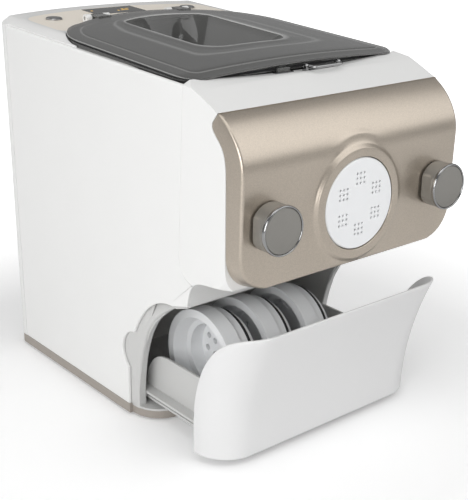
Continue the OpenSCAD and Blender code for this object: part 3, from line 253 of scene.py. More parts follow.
def lathe(profile: list[tuple[float, float]], columns: int) -> tuple[np.ndarray, np.ndarray, np.ndarray]:
    """Rings of a turned shape: X, Z offsets from the axis and the distance along it.

    Args:
        profile: Radius and distance along the axis.
        columns: Points round each ring.

    Returns:
        X, along and Z, one row for each ring.
    """
    turn = np.linspace(0, 2 * np.pi, columns, endpoint=False)
    radius, along = np.array(profile, float).T
    return radius[:, None] * np.cos(turn), along[:, None] + 0 * turn, radius[:, None] * np.sin(turn)


def on_knob(side: int, x: np.ndarray, along: np.ndarray, z: np.ndarray) -> np.ndarray:
    """Rings of a turned shape, moved to the knob's axis on one side."""
    return np.stack([x + side * SIZE.knob_x, along, z + SIZE.axis_z], axis=-1)


# ------------------------------------------------------------------ shader arithmetic


class Signal:
    """A shader value that takes part in Python arithmetic; each sum adds a Math node."""

    def __init__(self, recipe: "Recipe", socket: bpy.types.NodeSocket) -> None:
        """Keeps the recipe that the value belongs to and the socket that gives it."""
        self.recipe = recipe
        self.socket = socket

    def _with(self, operation: str, first: object, second: object) -> "Signal":
        """Adds the Math node of one operation on two values."""
        maths = self.recipe.node("ShaderNodeMath", {"operation": operation}, {0: first, 1: second})
        return Signal(self.recipe, maths.outputs[0])

    def __add__(self, other: object) -> "Signal":
        """Sum."""
        return self._with("ADD", self, other)

    def __radd__(self, other: object) -> "Signal":
        """Sum with a number in front."""
        return self._with("ADD", other, self)

    def __sub__(self, other: object) -> "Signal":
        """Difference."""
        return self._with("SUBTRACT", self, other)

    def __rsub__(self, other: object) -> "Signal":
        """Difference from a number."""
        return self._with("SUBTRACT", other, self)

    def __mul__(self, other: object) -> "Signal":
        """Product."""
        return self._with("MULTIPLY", self, other)

    def __rmul__(self, other: object) -> "Signal":
        """Product with a number in front."""
        return self._with("MULTIPLY", other, self)

    def above(self, edge: float) -> "Signal":
        """1 where the value is over an edge, otherwise 0."""
        return self._with("GREATER_THAN", self, edge)

    def clamped(self) -> "Signal":
        """The value kept between 0 and 1."""
        return Signal(self.recipe, self.recipe.node("ShaderNodeClamp", {}, {0: self}).outputs[0])


class Recipe:
    """One procedural material and the few ways of adding nodes to it."""

    def __init__(self, name: str) -> None:
        """Starts an empty material with its output and shader.

        Args:
            name: The material's name.
        """
        self.material = bpy.data.materials.new(name)
        self.material.use_nodes = True
        self.tree = self.material.node_tree
        self.tree.nodes.clear()
        self.shader = self.node("ShaderNodeBsdfPrincipled", {}, {})
        self.node("ShaderNodeOutputMaterial", {}, {"Surface": self.shader.outputs[0]})
        self.place = self.node("ShaderNodeTexCoord", {}, {}).outputs["Object"]

    def node(self, kind: str, settings: dict, sockets: dict) -> bpy.types.Node:
        """Adds a node.

        Args:
            kind: The node's type.
            settings: Attributes set first; "stops" fills a colour ramp.
            sockets: Number, colour, socket or Signal for each input, by name or index.

        Returns:
            The new node.
        """
        new = self.tree.nodes.new(kind)
        for key, value in settings.items():
            if key == "stops":
                self._fill_ramp(new.color_ramp, value)
            else:
                setattr(new, key, value)
        for key, value in sockets.items():
            self.feed(new.inputs[key], value)
        return new

    def feed(self, socket: bpy.types.NodeSocket, value: object) -> None:
        """Links a Signal or socket to an input, or sets the input's own value."""
        source = value.socket if isinstance(value, Signal) else value
        if isinstance(source, bpy.types.NodeSocket):
            self.tree.links.new(source, socket)
        else:
            socket.default_value = source

    @staticmethod
    def _fill_ramp(ramp: bpy.types.ColorRamp, stops: list[tuple[float, float]]) -> None:
        """Puts grey stops on a ramp that starts with two."""
        while len(ramp.elements) < len(stops):
            ramp.elements.new(0.5)
        for element, (at, level) in zip(ramp.elements, stops):
            element.position = at
            element.color = (level, level, level, 1.0)

    def stretched(self, stretch: Corner) -> bpy.types.NodeSocket:
        """Object coordinates, scaled along each axis."""
        mapping = self.node("ShaderNodeMapping", {}, {"Vector": self.place, "Scale": stretch})
        return mapping.outputs[0]

    def noise(self, size: float, detail: float = 2.0, stretch: Corner = (1.0, 1.0, 1.0)) -> Signal:
        """Cloudy variation from 0 to 1.

        Args:
            size: Width of one patch in millimetres.
            detail: Number of finer layers.
            stretch: Scale along X, Y and Z, under 1 to draw the patches out.

        Returns:
            The variation.
        """
        where = self.place if stretch == (1.0, 1.0, 1.0) else self.stretched(stretch)
        sockets = {"Vector": where, "Scale": 1 / (size * MM), "Detail": detail}
        cloud = self.node("ShaderNodeTexNoise", {}, sockets)
        return Signal(self, cloud.outputs["Fac"])

    def cells(self, size: float) -> Signal:
        """Random level of each small cell, like flakes in paint; size in millimetres."""
        flakes = self.node("ShaderNodeTexVoronoi", {}, {"Vector": self.place, "Scale": 1 / (size * MM)})
        split = self.node("ShaderNodeSeparateColor", {}, {0: flakes.outputs["Color"]})
        return Signal(self, split.outputs[0])

    def tint(self, amount: object, first: Colour, second: Colour) -> bpy.types.NodeSocket:
        """Colour that runs from the first to the second as the amount goes from 0 to 1."""
        sockets = {0: amount, 6: (*first, 1.0), 7: (*second, 1.0)}
        return self.node("ShaderNodeMix", {"data_type": "RGBA"}, sockets).outputs[2]

    def bump(self, height: Signal, depth: float, edge: float = 0.0) -> bpy.types.NodeSocket:
        """Normal of a surface raised by a height.

        Args:
            height: Relief from 0 to 1.
            depth: Depth of the relief in millimetres.
            edge: Radius in millimetres that softens the piece's sharp edges.

        Returns:
            The normal's socket.
        """
        sockets = {"Height": height, "Strength": 1.0, "Distance": depth * MM}
        if edge > 0:
            sockets["Normal"] = self.node("ShaderNodeBevel", {"samples": 6}, {"Radius": edge * MM}).outputs[0]
        return self.node("ShaderNodeBump", {}, sockets).outputs[0]

    def finish(self, **values: object) -> bpy.types.Material:
        """Fills the shader's inputs, their names written with underscores, and gives the material."""
        for name, value in values.items():
            self.feed(self.shader.inputs[name.replace("_", " ")], value)
        return self.material


def scaled(colour: Colour, factor: float) -> Colour:
    """The colour made lighter or darker by a factor."""
    return (colour[0] * factor, colour[1] * factor, colour[2] * factor)


# ------------------------------------------------------------------ finishes


@dataclass(frozen=True)
class Moulding:
    """Moulded plastic: fine grain, faint clouding of colour and gloss."""

    colour: Colour
    roughness: float
    grain: float = 0.35
    relief: float = 0.006
    clouding: float = 0.02
    coat: float = 0.0
    edge: float = 0.5

    def make(self, name: str) -> bpy.types.Material:
        """Builds the material."""
        recipe = Recipe(name)
        cloud = recipe.noise(38.0, 2.0)
        grain = recipe.noise(self.grain, 1.0)
        return recipe.finish(
            Base_Color=recipe.tint(cloud, scaled(self.colour, 1 - self.clouding), self.colour),
            Roughness=self.roughness + 0.06 * (recipe.noise(9.0, 3.0) - 0.5),
            Coat_Weight=self.coat,
            Coat_Roughness=0.12,
            Normal=recipe.bump(grain, self.relief, self.edge),
        )


@dataclass(frozen=True)
class FlakePaint:
    """Metallic paint: small flakes of different lightness under a thin clear coat."""

    colour: Colour
    roughness: float
    flake: float = 0.28
    sparkle: float = 0.1
    metallic: float = 0.75
    patches: float = 0.35

    def make(self, name: str) -> bpy.types.Material:
        """Builds the material."""
        recipe = Recipe(name)
        flakes = recipe.cells(self.flake)
        light = recipe.noise(60.0, 1.0)
        shade = (flakes * (1 - self.patches) + light * self.patches).clamped()
        dark, pale = scaled(self.colour, 1 - self.sparkle), scaled(self.colour, 1 + self.sparkle)
        return recipe.finish(
            Base_Color=recipe.tint(shade, dark, pale),
            Metallic=self.metallic,
            Roughness=self.roughness + 0.08 * (flakes - 0.5),
            Coat_Weight=0.25,
            Coat_Roughness=0.25,
            Normal=recipe.bump(flakes, 0.004, 0.5),
        )


@dataclass(frozen=True)
class Metal:
    """Bare or plated metal with fine lines left by tool or polish."""

    colour: Colour
    roughness: float
    lines: float = 0.25
    draw: Corner = (1.0, 1.0, 1.0)
    relief: float = 0.002

    def make(self, name: str) -> bpy.types.Material:
        """Builds the material."""
        recipe = Recipe(name)
        lines = recipe.noise(self.lines, 2.0, self.draw)
        patches = recipe.noise(12.0, 2.0)
        return recipe.finish(
            Base_Color=recipe.tint(patches, scaled(self.colour, 0.96), self.colour),
            Metallic=1.0,
            Roughness=self.roughness + 0.1 * (lines - 0.5),
            Normal=recipe.bump(lines, self.relief, 0.3),
        )


@dataclass(frozen=True)
class ClearSmoke:
    """Smoke-tinted clear plastic, seen through, with a hard gloss and a painted highlight along marked edges.
    """

    colour: Colour
    cover: float
    # Pale grey that is painted onto the marked edges as a highlight, and the extra opacity that goes with it.
    lit_edge: Colour = (0.6, 0.6, 0.59)
    rim_cover: float = 0.3
    edge_cover: float = 0.35

    def make(self, name: str) -> bpy.types.Material:
        """Builds the material."""
        recipe = Recipe(name)
        flow = recipe.noise(24.0, 2.0)
        rim = Signal(recipe, recipe.node("ShaderNodeLayerWeight", {}, {"Blend": 0.35}).outputs["Facing"])
        # Mask of the painted edge highlight, stored on the mesh.
        stored = recipe.node("ShaderNodeAttribute", {"attribute_name": "edge_light"}, {})
        edge = Signal(recipe, stored.outputs["Fac"])
        body = recipe.tint(flow, scaled(self.colour, 0.93), self.colour)
        # Base colour runs to the pale grey along the mask, a painted highlight; the mask also raises the
        # opacity there.
        sockets = {0: edge, 6: body, 7: (*self.lit_edge, 1.0)}
        light = recipe.node("ShaderNodeMix", {"data_type": "RGBA"}, sockets)
        cover = self.cover + rim * self.rim_cover + 0.04 * (flow - 0.5) + self.edge_cover * edge
        return recipe.finish(
            Base_Color=light.outputs[2],
            Roughness=0.1 + 0.05 * flow,
            Alpha=cover.clamped(),
            Coat_Weight=1.0,
            Coat_Roughness=0.03,
            Normal=recipe.bump(recipe.noise(6.0, 1.0), 0.01, 0.4),
        )


@dataclass(frozen=True)
class Rubber:
    """Soft black rubber with a dry, pitted surface."""

    colour: Colour
    roughness: float = 0.75

    def make(self, name: str) -> bpy.types.Material:
        """Builds the material."""
        recipe = Recipe(name)
        pits = recipe.noise(0.5, 3.0)
        return recipe.finish(
            Base_Color=recipe.tint(pits, scaled(self.colour, 0.8), scaled(self.colour, 1.25)),
            Roughness=self.roughness + 0.15 * (pits - 0.5),
            Normal=recipe.bump(pits, 0.02, 0.3),
        )


@dataclass(frozen=True)
class CircuitBoard:
    """Green lacquered board with paler copper tracks under the lacquer."""

    colour: Colour
    track: Colour

    def make(self, name: str) -> bpy.types.Material:
        """Builds the material."""
        recipe = Recipe(name)
        sockets = {"Vector": recipe.place, "Scale": 150.0, "Distortion": 6.0}
        waves = recipe.node("ShaderNodeTexWave", {"wave_type": "BANDS"}, sockets)
        tracks = Signal(recipe, waves.outputs["Fac"]).above(0.72)
        return recipe.finish(
            Base_Color=recipe.tint(tracks, self.colour, self.track),
            Roughness=0.35 + 0.1 * tracks,
            Normal=recipe.bump(tracks, 0.03, 0.0),
        )


@dataclass(frozen=True)
class DisplayGlass:
    """Black glass with a few lit amber bars behind it."""

    colour: Colour
    glow: Colour
    bars: tuple[tuple[float, float, float, float], ...]

    def make(self, name: str) -> bpy.types.Material:
        """Builds the material; each bar is a low and high X and a low and high Y in millimetres."""
        recipe = Recipe(name)
        split = recipe.node("ShaderNodeSeparateXYZ", {}, {0: recipe.place})
        across, along = Signal(recipe, split.outputs[0]), Signal(recipe, split.outputs[1])
        lit = Signal(recipe, recipe.node("ShaderNodeValue", {}, {}).outputs[0])
        for left, right, front, rear in self.bars:
            inside = across.above(left * MM) * (1 - across.above(right * MM))
            lit = lit + inside * along.above(front * MM) * (1 - along.above(rear * MM))
        smear = recipe.noise(14.0, 2.0)
        return recipe.finish(
            Base_Color=recipe.tint(smear, self.colour, scaled(self.colour, 1.4)),
            Roughness=0.08 + 0.06 * smear,
            Coat_Weight=0.5,
            Emission_Color=recipe.tint(lit.clamped(), (0.0, 0.0, 0.0), self.glow),
            Emission_Strength=1.0,
            Normal=recipe.bump(recipe.noise(0.5, 1.0), 0.001, 0.3),
        )


class Slot(Enum):
    """The record's material slots with the finish of each."""

    white_shell = Moulding((0.85, 0.85, 0.84), 0.32, coat=0.2, edge=0.8)
    white_drawer = Moulding((0.8, 0.8, 0.8), 0.33, coat=0.2, edge=0.6)
    grey_liner = Moulding((0.6, 0.6, 0.59), 0.5, relief=0.012)
    taupe_skirt = Moulding((0.36, 0.325, 0.29), 0.45, relief=0.012)
    champagne = FlakePaint((0.55, 0.485, 0.41), 0.34, flake=0.4, sparkle=0.14, metallic=0.88)
    smoke = ClearSmoke((0.1, 0.1, 0.096), 0.6)
    knob_grey = FlakePaint((0.29, 0.28, 0.26), 0.38, sparkle=0.05, metallic=0.6)
    chrome = Metal((0.36, 0.36, 0.36), 0.12)
    steel = Metal((0.6, 0.61, 0.62), 0.3, draw=(1.0, 0.08, 1.0), relief=0.006)
    brass = Metal((0.72, 0.56, 0.28), 0.28, draw=(1.0, 0.1, 1.0))
    black_rubber = Rubber((0.03, 0.03, 0.032))
    black_plastic = Moulding((0.02, 0.02, 0.024), 0.12, coat=0.6, clouding=0.1)
    beige = Moulding((0.95, 0.88, 0.78), 0.35)
    disc_white = Moulding((0.9, 0.91, 0.92), 0.4, edge=0.5)
    nylon = Moulding((0.74, 0.71, 0.62), 0.45, relief=0.01)
    board = CircuitBoard((0.02, 0.11, 0.05), (0.05, 0.2, 0.09))


class Finishes:
    """Makes each slot's material once."""

    def __init__(self) -> None:
        """Builds the materials of all slots."""
        self.made = {slot: slot.value.make(slot.name) for slot in Slot}
        bars = (
            (-22, -20, 150, 153), (2, 4, 143, 146), (6, 14, 144, 146), (9, 11, 147, 151), (13, 17, 149, 151),
        )
        display = DisplayGlass((0.008, 0.008, 0.009), (0.9, 0.52, 0.03), bars).make("display_glass")
        self.special = {"display_window": display}
        record = frame["record"]
        self.node_slot = {row["node"]: Slot[row["material_slot"]] for row in record["subparts"]}

    def of(self, node: str) -> bpy.types.Material:
        """The material of a CAD node: its slot's, unless the node has one of its own."""
        return self.special.get(node, self.made[self.node_slot[node]])

    def dress(self, piece: bpy.types.Object, node: str) -> None:
        """Gives a new piece the material and the slot name of the node that it stands for."""
        piece.data.materials.clear()
        piece.data.materials.append(self.of(node))

    def dress_frame(self) -> None:
        """Puts the procedural materials on the CAD nodes."""
        for name, node in frame["nodes"].items():
            for place in node.material_slots:
                place.material = self.of(name)


# ------------------------------------------------------------------ meshes


class Shell:
    """Collects grids of points, in millimetres, and makes them one mesh in metres."""

    def __init__(self, name: str) -> None:
        """Starts an empty shell.

        Args:
            name: Name of the piece.
        """
        self.name = name
        self.points: list[np.ndarray] = []
        self.faces: list[list[int]] = []
        self.count = 0
        # Share of a painted edge highlight at each point, or none.
        self.edge_light: np.ndarray | None = None

    def grid(self, points: np.ndarray, wrap: bool = False) -> np.ndarray:
        """Adds a grid of four-sided faces.

        Args:
            points: Rows, columns and X, Y, Z.
            wrap: Joins the last column to the first.

        Returns:
            Each point's number, in the grid's rows and columns.
        """
        rows, columns = points.shape[:2]
        index = np.arange(rows * columns).reshape(rows, columns) + self.count
        self.points.append(points.reshape(-1, 3))
        self.count += rows * columns
        beside = np.roll(index, -1, axis=1) if wrap else index[:, 1:]
        near = index if wrap else index[:, :-1]
        quads = np.stack([near[:-1], beside[:-1], beside[1:], near[1:]], axis=-1)
        self.faces.extend(quads.reshape(-1, 4).tolist())
        return index

    def stack(self, rings: np.ndarray) -> None:
        """Adds rings joined in order, the first and the last closed by a flat face."""
        index = self.grid(rings, wrap=True)
        self.faces += [index[0, ::-1].tolist(), index[-1].tolist()]

    def loop(self, rings: np.ndarray) -> None:
        """Adds rings joined in order, the last to the first as well."""
        self.grid(np.concatenate([rings, rings[:1]]), wrap=True)

    def block(self, low: Corner, high: Corner, soft: float) -> None:
        """Adds a box from its low to its high corner, all edges cut by a small chamfer."""
        (x0, y0, z0), (x1, y1, z1) = low, high
        flat = np.array([(x0, y0), (x1, y0), (x1, y1), (x0, y1)])
        levels = [(flat, soft, z0), (flat, 0.0, z0 + soft), (flat, 0.0, z1 - soft), (flat, soft, z1)]
        self.stack(np.array([np.column_stack([inset(ring, cut), np.full(4, z)]) for ring, cut, z in levels]))

    def build(self, sharp: float = 35.0, turn: bool = True) -> bpy.types.Object:
        """Makes the object.

        Args:
            sharp: Angle in degrees over which an edge stays crisp.
            turn: Makes all faces of the closed shell point outwards.

        Returns:
            The object, at the origin.
        """
        mesh = bpy.data.meshes.new(self.name)
        mesh.from_pydata((np.concatenate(self.points) * MM).tolist(), [], self.faces)
        # Stores the painted highlight share on the mesh for the smoke material.
        if self.edge_light is not None:
            mesh.attributes.new("edge_light", "FLOAT", "POINT").data.foreach_set("value", self.edge_light)
        piece = bpy.data.objects.new(self.name, mesh)
        bpy.context.scene.collection.objects.link(piece)
        weld(mesh, sharp, turn)
        return piece


def weld(mesh: bpy.types.Mesh, sharp: float, turn: bool) -> None:
    """Joins points that lie on each other and shades the surface smooth between crisp edges.

    Args:
        mesh: The mesh to finish.
        sharp: Angle in degrees over which an edge stays crisp.
        turn: Makes all faces point outwards.
    """
    work = bmesh.new()
    work.from_mesh(mesh)
    bmesh.ops.remove_doubles(work, verts=work.verts, dist=2e-6)
    bmesh.ops.dissolve_degenerate(work, edges=work.edges, dist=1e-7)
    if turn:
        bmesh.ops.recalc_face_normals(work, faces=work.faces)
    limit = math.radians(sharp)
    for edge in work.edges:
        edge.smooth = len(edge.link_faces) == 2 and edge.calc_face_angle(0.0) < limit
    for face in work.faces:
        face.smooth = True
    work.to_mesh(mesh)
    work.free()


@dataclass
class CarriedOver:
    """CAD nodes whose shape is right: a welded copy with smooth curves stands for each."""

    finishes: Finishes
    sharp: float = 28.0

    def build(self, skip: set[str]) -> None:
        """Copies every node that no new piece has replaced.

        Args:
            skip: Nodes that a new piece stands for.
        """
        for name, node in frame["nodes"].items():
            if name in skip:
                continue
            mesh = bpy.data.meshes.new(f"{name}_skin")
            work = bmesh.new()
            work.from_mesh(node.data)
            work.to_mesh(mesh)
            work.free()
            weld(mesh, self.sharp, False)
            piece = bpy.data.objects.new(f"{name}_skin", mesh)
            bpy.context.scene.collection.objects.link(piece)
            self.finishes.dress(piece, name)
            place(piece, name)


def place(piece: bpy.types.Object, *nodes: str) -> None:
    """Lets a piece stand for CAD nodes and ride on their body."""
    body = node_body(nodes[0])
    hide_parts(*nodes)
    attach(piece, body)
    LOG.info("%s stands for %s on %s, %d faces", piece.name, ", ".join(nodes), body, len(piece.data.polygons))


def node_body(node: str) -> str:
    """The body that a CAD node rides on."""
    bodies = frame["record"]["behaviour"]["bodies"]
    return next(body for body, nodes in bodies.items() if node in nodes)


# ------------------------------------------------------------------ pieces


@dataclass
class Piece:
    """Base of the modelled pieces."""

    finishes: Finishes

    def finish(self, shell: Shell, *nodes: str, sharp: float = 35.0) -> bpy.types.Object:
        """Builds a shell, dresses it like its first node and puts it in that node's place."""
        piece = shell.build(sharp)
        self.finishes.dress(piece, nodes[0])
        place(piece, *nodes)
        return piece


class SidePanels(Piece):
    """The two flat side panels, with a soft top edge and the drawer's cut-out."""

    rear_step = 9.55
    rear_corner = 150.2
    wing_gap = (1.2, 3.0)
    recess = 19.0
    boss_x = 100.2
    boss_y = (79.165, 134.865)
    boss_bore = 1.4

    def outline(self) -> np.ndarray:
        """Panel seen from the side as Y, Z, counter-clockwise from the rear foot."""
        size = SIZE
        rear_top = size.side_top(self.rear_corner)
        under = size.under(0.35)
        seam = bezier([(size.seam_bottom, 161.5), (size.seam_bottom, 149.5),
                       (size.seam_bottom - 4, 142.5), tuple(under[-1])], 20)
        turn = np.radians(np.linspace(90, 0, 160))
        across, up = size.wing_reach + self.wing_gap[0], size.wing_rise + self.wing_gap[1]
        wing = np.stack([size.wing_y - size.wing_reach + across * np.cos(turn),
                         size.wing_foot + up * np.sin(turn)], axis=1)
        middle = np.array([size.wing_y - 10.5, 58.0])
        inside = np.linalg.norm(wing - middle, axis=1) < self.recess
        first, last = np.flatnonzero(inside)[[0, -1]]
        recess = arc(tuple(middle), self.recess, 84.5, -54.5, 40)
        return np.concatenate([
            [(size.rear(z) - self.rear_step, z) for z in (size.sill, rear_top)],
            [(size.seam_top, size.side_top(size.seam_top))], seam, under[::-1][1::2],
            wing[:first], recess, wing[last + 1:], [(size.wing_y + self.wing_gap[0], size.sill)],
        ])

    def build(self) -> None:
        """Makes both panels from one set of rings."""
        outline = closed_spacing(self.outline(), 3.0)
        height = np.array([SIZE.side_top(y) for y in outline[:, 0]]) - outline[:, 1]
        radius = 0.7 + 1.7 * (1 - soft_step(height, 0.0, 5.0))
        rings = [(outline, np.full(len(outline), SIZE.half - SIZE.wall))]
        rings += [(inset(outline, off), SIZE.half - down) for off, down in fillet(radius)]
        rings.append((inset(outline, radius + 0.5), np.full(len(outline), SIZE.half)))
        stack = np.array([np.column_stack([x, ring]) for ring, x in rings])
        for side, name in SIDES:
            shell = Shell(f"{name}_side")
            shell.stack(stack * (side, 1, 1))
            self.finish(shell, f"{name}_side_panel")
            self.finish(self.bosses(side, name), f"{name}_side_panel")

    def bosses(self, side: int, name: str) -> Shell:
        """Bored screw bosses inside the panel's foot."""
        shell = Shell(f"{name}_side_bosses")
        turn = np.linspace(0, 2 * np.pi, 24, endpoint=False)
        square = np.maximum(np.abs(np.cos(turn)), np.abs(np.sin(turn)))
        circle = np.stack([np.cos(turn), np.sin(turn)], axis=1)
        for y in self.boss_y:
            outer = (self.boss_x, y) + circle * (4.5, 5.0) / square[:, None]
            bore = (self.boss_x, y) + circle * self.boss_bore
            levels = [(bore, 21.0), (bore, SIZE.sill), (outer, SIZE.sill), (outer, 24.0)]
            rings = [np.column_stack([ring, np.full(len(turn), z)]) for ring, z in levels]
            shell.stack(np.array(rings) * (side, 1, 1))
        return shell


class FrontPanel(Piece):
    """Champagne front: a rolled brow, soft side edges and the flared collar of the disc."""

    corner = 27.0
    foot_drop = 46.0
    underside = 0.2078
    collar_start = 44.6

    def collar(self, radius: np.ndarray) -> np.ndarray:
        """Depth of the collar's skin behind the disc's face, by distance from the axis."""
        flare = bezier([(42.4, 1.6), (43.6, 3.2), (45.0, 3.9), (50.0, 4.6)], 20)
        whole = np.concatenate([[(0, 0), (40.2, 0), (40.7, 0.08), (41.1, 0.3), (41.4, 0.7)], flare])
        depth = np.interp(radius, whole[:, 0], whole[:, 1])
        past = np.maximum(radius - 50, 0)
        return depth + 0.14 * past + 0.2 * past**2

    def skin(self, xz: np.ndarray) -> np.ndarray:
        """Outer skin over points X, Z: the nearer of face and collar, with a soft crease."""
        radius = np.hypot(xz[:, 0], xz[:, 1] - SIZE.axis_z)
        return soft_low(SIZE.face(xz[:, 1]), SIZE.disc_y + self.collar(radius), 0.7)

    def build(self) -> None:
        """Makes the panel as one closed band of rings, outside, over the collar and back inside."""
        size = SIZE
        foot = size.axis_z - self.foot_drop
        inner, middle = size.half - self.corner, foot + self.corner
        top = [(size.half, size.panel_top), (-size.half, size.panel_top)]
        outline = closed_spacing(np.concatenate([
            arc((-inner, middle), self.corner, 180, 270, 18),
            arc((inner, middle), self.corner, 270, 360, 18), top,
        ]), 2.6)
        turn = np.arctan2(outline[:, 1] - size.axis_z, outline[:, 0])
        circle = np.stack([np.cos(turn), np.sin(turn)], axis=1)
        centre = np.array([0.0, size.axis_z])
        low = soft_step(-outline[:, 1], -(size.axis_z + 10), -(size.axis_z - 18))
        wall = size.panel_rear(outline[:, 1]) - size.face(outline[:, 1])
        radius = np.minimum(np.where(outline[:, 1] < foot + 1, 1.5, 2.2), 0.35 * wall + 0.25)

        def sunk(ring: np.ndarray, y: np.ndarray) -> np.ndarray:
            """Ring at a depth, its lower part dropped by a share of the way back."""
            drop = self.underside * (y - size.panel_y) * low
            return upright(np.stack([ring[:, 0], ring[:, 1] - drop], axis=1), y)

        rear = size.panel_rear(outline[:, 1])
        thin = inset(outline, size.wall)
        rings = [sunk(outline, rear - 0.3), *(
            sunk(inset(outline, off), size.face(outline[:, 1]) + down) for off, down in fillet(radius))]
        start = inset(outline, radius + 0.4)
        goal = centre + self.collar_start * circle
        skins = [start * (1 - share) + goal * share for share in np.linspace(0, 1, 34) ** 1.15]
        skins += [centre + at * circle for at in (
            44.2, 43.8, 43.4, 42.9, 42.4, 42, 41.7, 41.4, 41.1, 40.8, 40.5, 40.1, 38, 35, 34.6)]
        rings += [upright(ring, self.skin(ring)) for ring in skins]
        for at, y in ((34.3, 0.3), (34.3, 8), (39, 8), (39, 12), (44, 12), (44, 7.5)):
            rings.append(upright(centre + at * circle, size.disc_y + y))
        for share in np.linspace(0.1, 1, 12):
            ring = (centre + 44 * circle) * (1 - share) + thin * share
            slope = size.face(ring[:, 1] + 0.5) - size.face(ring[:, 1] - 0.5)
            y = size.face(ring[:, 1]) + size.wall * np.sqrt(1 + np.minimum(slope, 2.2) ** 2)
            rings.append(upright(ring, np.minimum(y, size.panel_rear(ring[:, 1]) - 0.2)))
        rings.append(sunk(thin, size.panel_rear(thin[:, 1])))
        lip = inset(outline, 0.3)
        rings.append(sunk(lip, size.panel_rear(lip[:, 1])))
        shell = Shell("front")
        shell.loop(np.array(rings))
        self.finish(shell, "front_panel")
        for side, name in SIDES:
            boss = Shell(f"{name}_stud_boss")
            profile = [(4.4, -158.6), (10, -158.6), (10, -146.0), (9.5, -145.5), (4.4, -145.5)]
            boss.loop(on_knob(side, *lathe(profile, 48)))
            self.finish(boss, "front_panel")


class Knobs(Piece):
    """Round knobs with two flats for the fingers, a dished face and a bright ring."""

    flat_reach = 14.6

    def grip(self, side: int, name: str) -> Shell:
        """Turned body whose rear part is cut flat left and right, with a soft corner."""
        profile = [(14.9, 0.62), (15.2, 0.5), (15.6, 0.5), (15.9, 0.66), (16.1, 0.95), (16.15, 1.4),
                   (16.15, 3.0), (16.9, 3.0), (17.12, 3.1), (17.2, 3.35), (17.2, 5.0), (17.17, 5.25),
                   (17.1, 5.45), (17.1, 5.6), (17.15, 5.9), (17.2, 6.4), (17.2, 8.0), (17.2, 11.0),
                   (17.2, 14.2), (17.05, 14.7), (16.7, 15.0), (6.8, 15.0)]
        x, along, z = lathe(profile, 144)
        limit = self.flat_reach + 3.0 * (1 - soft_step(along, 5.3, 6.4))
        flat = np.sign(x) * soft_low(np.abs(x), limit, 0.5)
        shell = Shell(f"{name}_grip")
        shell.stack(on_knob(side, flat, along + SIZE.front, z))
        return shell

    def ring(self, side: int, name: str) -> Shell:
        """Plated ring with a rolled front."""
        profile = [(16.2, 0.75), (16.28, 0.4), (16.5, 0.12), (16.85, 0.0), (17.2, 0.1), (17.5, 0.4),
                   (17.7, 0.85), (17.8, 1.4), (17.8, 2.3), (17.72, 2.7), (17.5, 2.95), (17.2, 3.0),
                   (16.2, 3.0)]
        x, along, z = lathe(profile, 144)
        shell = Shell(f"{name}_ring")
        shell.loop(on_knob(side, x, along + SIZE.front, z))
        return shell

    def build(self) -> None:
        """Makes both knobs."""
        for side, name in SIDES:
            self.finish(self.grip(side, name), f"{name}_knob")
            self.finish(self.ring(side, name), f"{name}_knob_ring")


class DrawerFront(Piece):
    """Flared drawer front that sweeps round both corners into rounded wings."""

    foot = 6.0
    rear_gap = 0.4
    rim = 0.9

    def surface(self, share: np.ndarray, z: np.ndarray) -> tuple[np.ndarray, np.ndarray]:
        """Outer skin and its level normal.

        Args:
            share: Place along half the front: 0 at the middle, 1 where the corner
                starts, 2 where it ends, 3 at the wing's rear edge.
            z: Height of each point.

        Returns:
            X, Y, Z and the normal's X, Y, for the right half.
        """
        turn = np.radians(-90 + 90 * np.clip(share - 1, 0, 1))
        corner = SIZE.drawer_corner
        x = (SIZE.half - corner) * np.clip(share, 0, 1) + corner * np.cos(turn)
        y = SIZE.drawer_face(z) + corner + corner * np.sin(turn)
        rear = SIZE.wing_y - SIZE.drawer_open - self.rear_gap
        y = y + np.clip(share - 2, 0, 1) * (rear - y)
        return np.stack([x, y, z], axis=-1), np.stack([np.cos(turn), np.sin(turn)], axis=-1)

    def top(self, share: np.ndarray) -> np.ndarray:
        """Height where the wing's ellipse cuts the skin, found by halving."""
        low, high = np.full(share.shape, 25.0), np.full(share.shape, SIZE.drawer_top)
        for _ in range(40):
            z = (low + high) / 2
            y = self.surface(share, z)[0][..., 1]
            reach = np.clip((y - SIZE.wing_y + SIZE.drawer_open) / SIZE.wing_reach + 1, 0, 1)
            under = z < SIZE.wing_foot + SIZE.wing_rise * np.sqrt(1 - reach**2)
            low, high = np.where(under, z, low), np.where(under, high, z)
        return low

    def build(self) -> None:
        """Sweeps the wall's section along the front, its rim rolled across the edge."""
        wing = 2 + np.linspace(0, 1, 60)[1:] ** 0.8
        half = np.concatenate([np.linspace(0, 1, 16), np.linspace(1, 2, 25)[1:], wing])
        edge, normal = self.surface(half, self.top(half))
        out = np.column_stack([normal, np.zeros(len(half))])
        down = np.cross(unit(np.gradient(edge, axis=0)), out)
        down = unit(down * -np.sign(down[:, 2:3] + TINY + np.abs(down[:, 1:2]) * 1e-3))
        soft, wall = self.rim, SIZE.wall
        rows = np.linspace(0, 1, 22)
        start = edge + soft * down

        def side(depth: float) -> np.ndarray:
            """Skin from the foot to under the rim, moved inwards by a depth."""
            z = self.foot + (start[:, 2] - self.foot) * rows[:, None]
            points, normals = self.surface(np.broadcast_to(half, z.shape), z)
            miss = (start - self.surface(half, start[:, 2])[0]) * rows[:, None, None] ** 6
            points = points + miss
            points[..., :2] -= depth * normals
            return points

        turns = np.radians(np.linspace(0, 90, 6))[1:]
        fall = [edge + down * soft * (1 - math.sin(t)) for t in turns]
        cut = [soft * (1 - math.cos(t)) for t in turns]
        roll = [at - out * depth for at, depth in zip(fall, cut)]
        back = [at - out * (wall - depth) for at, depth in zip(fall[::-1], cut[::-1])]
        profile = np.concatenate([side(0.0), np.array(roll), np.array(back), side(wall)[::-1]])
        right = profile.transpose(1, 0, 2)
        rings = np.concatenate([(right * (-1, 1, 1))[::-1], right[1:]])
        shell = Shell("drawer_face")
        shell.stack(rings)
        self.finish(shell, "drawer_front")


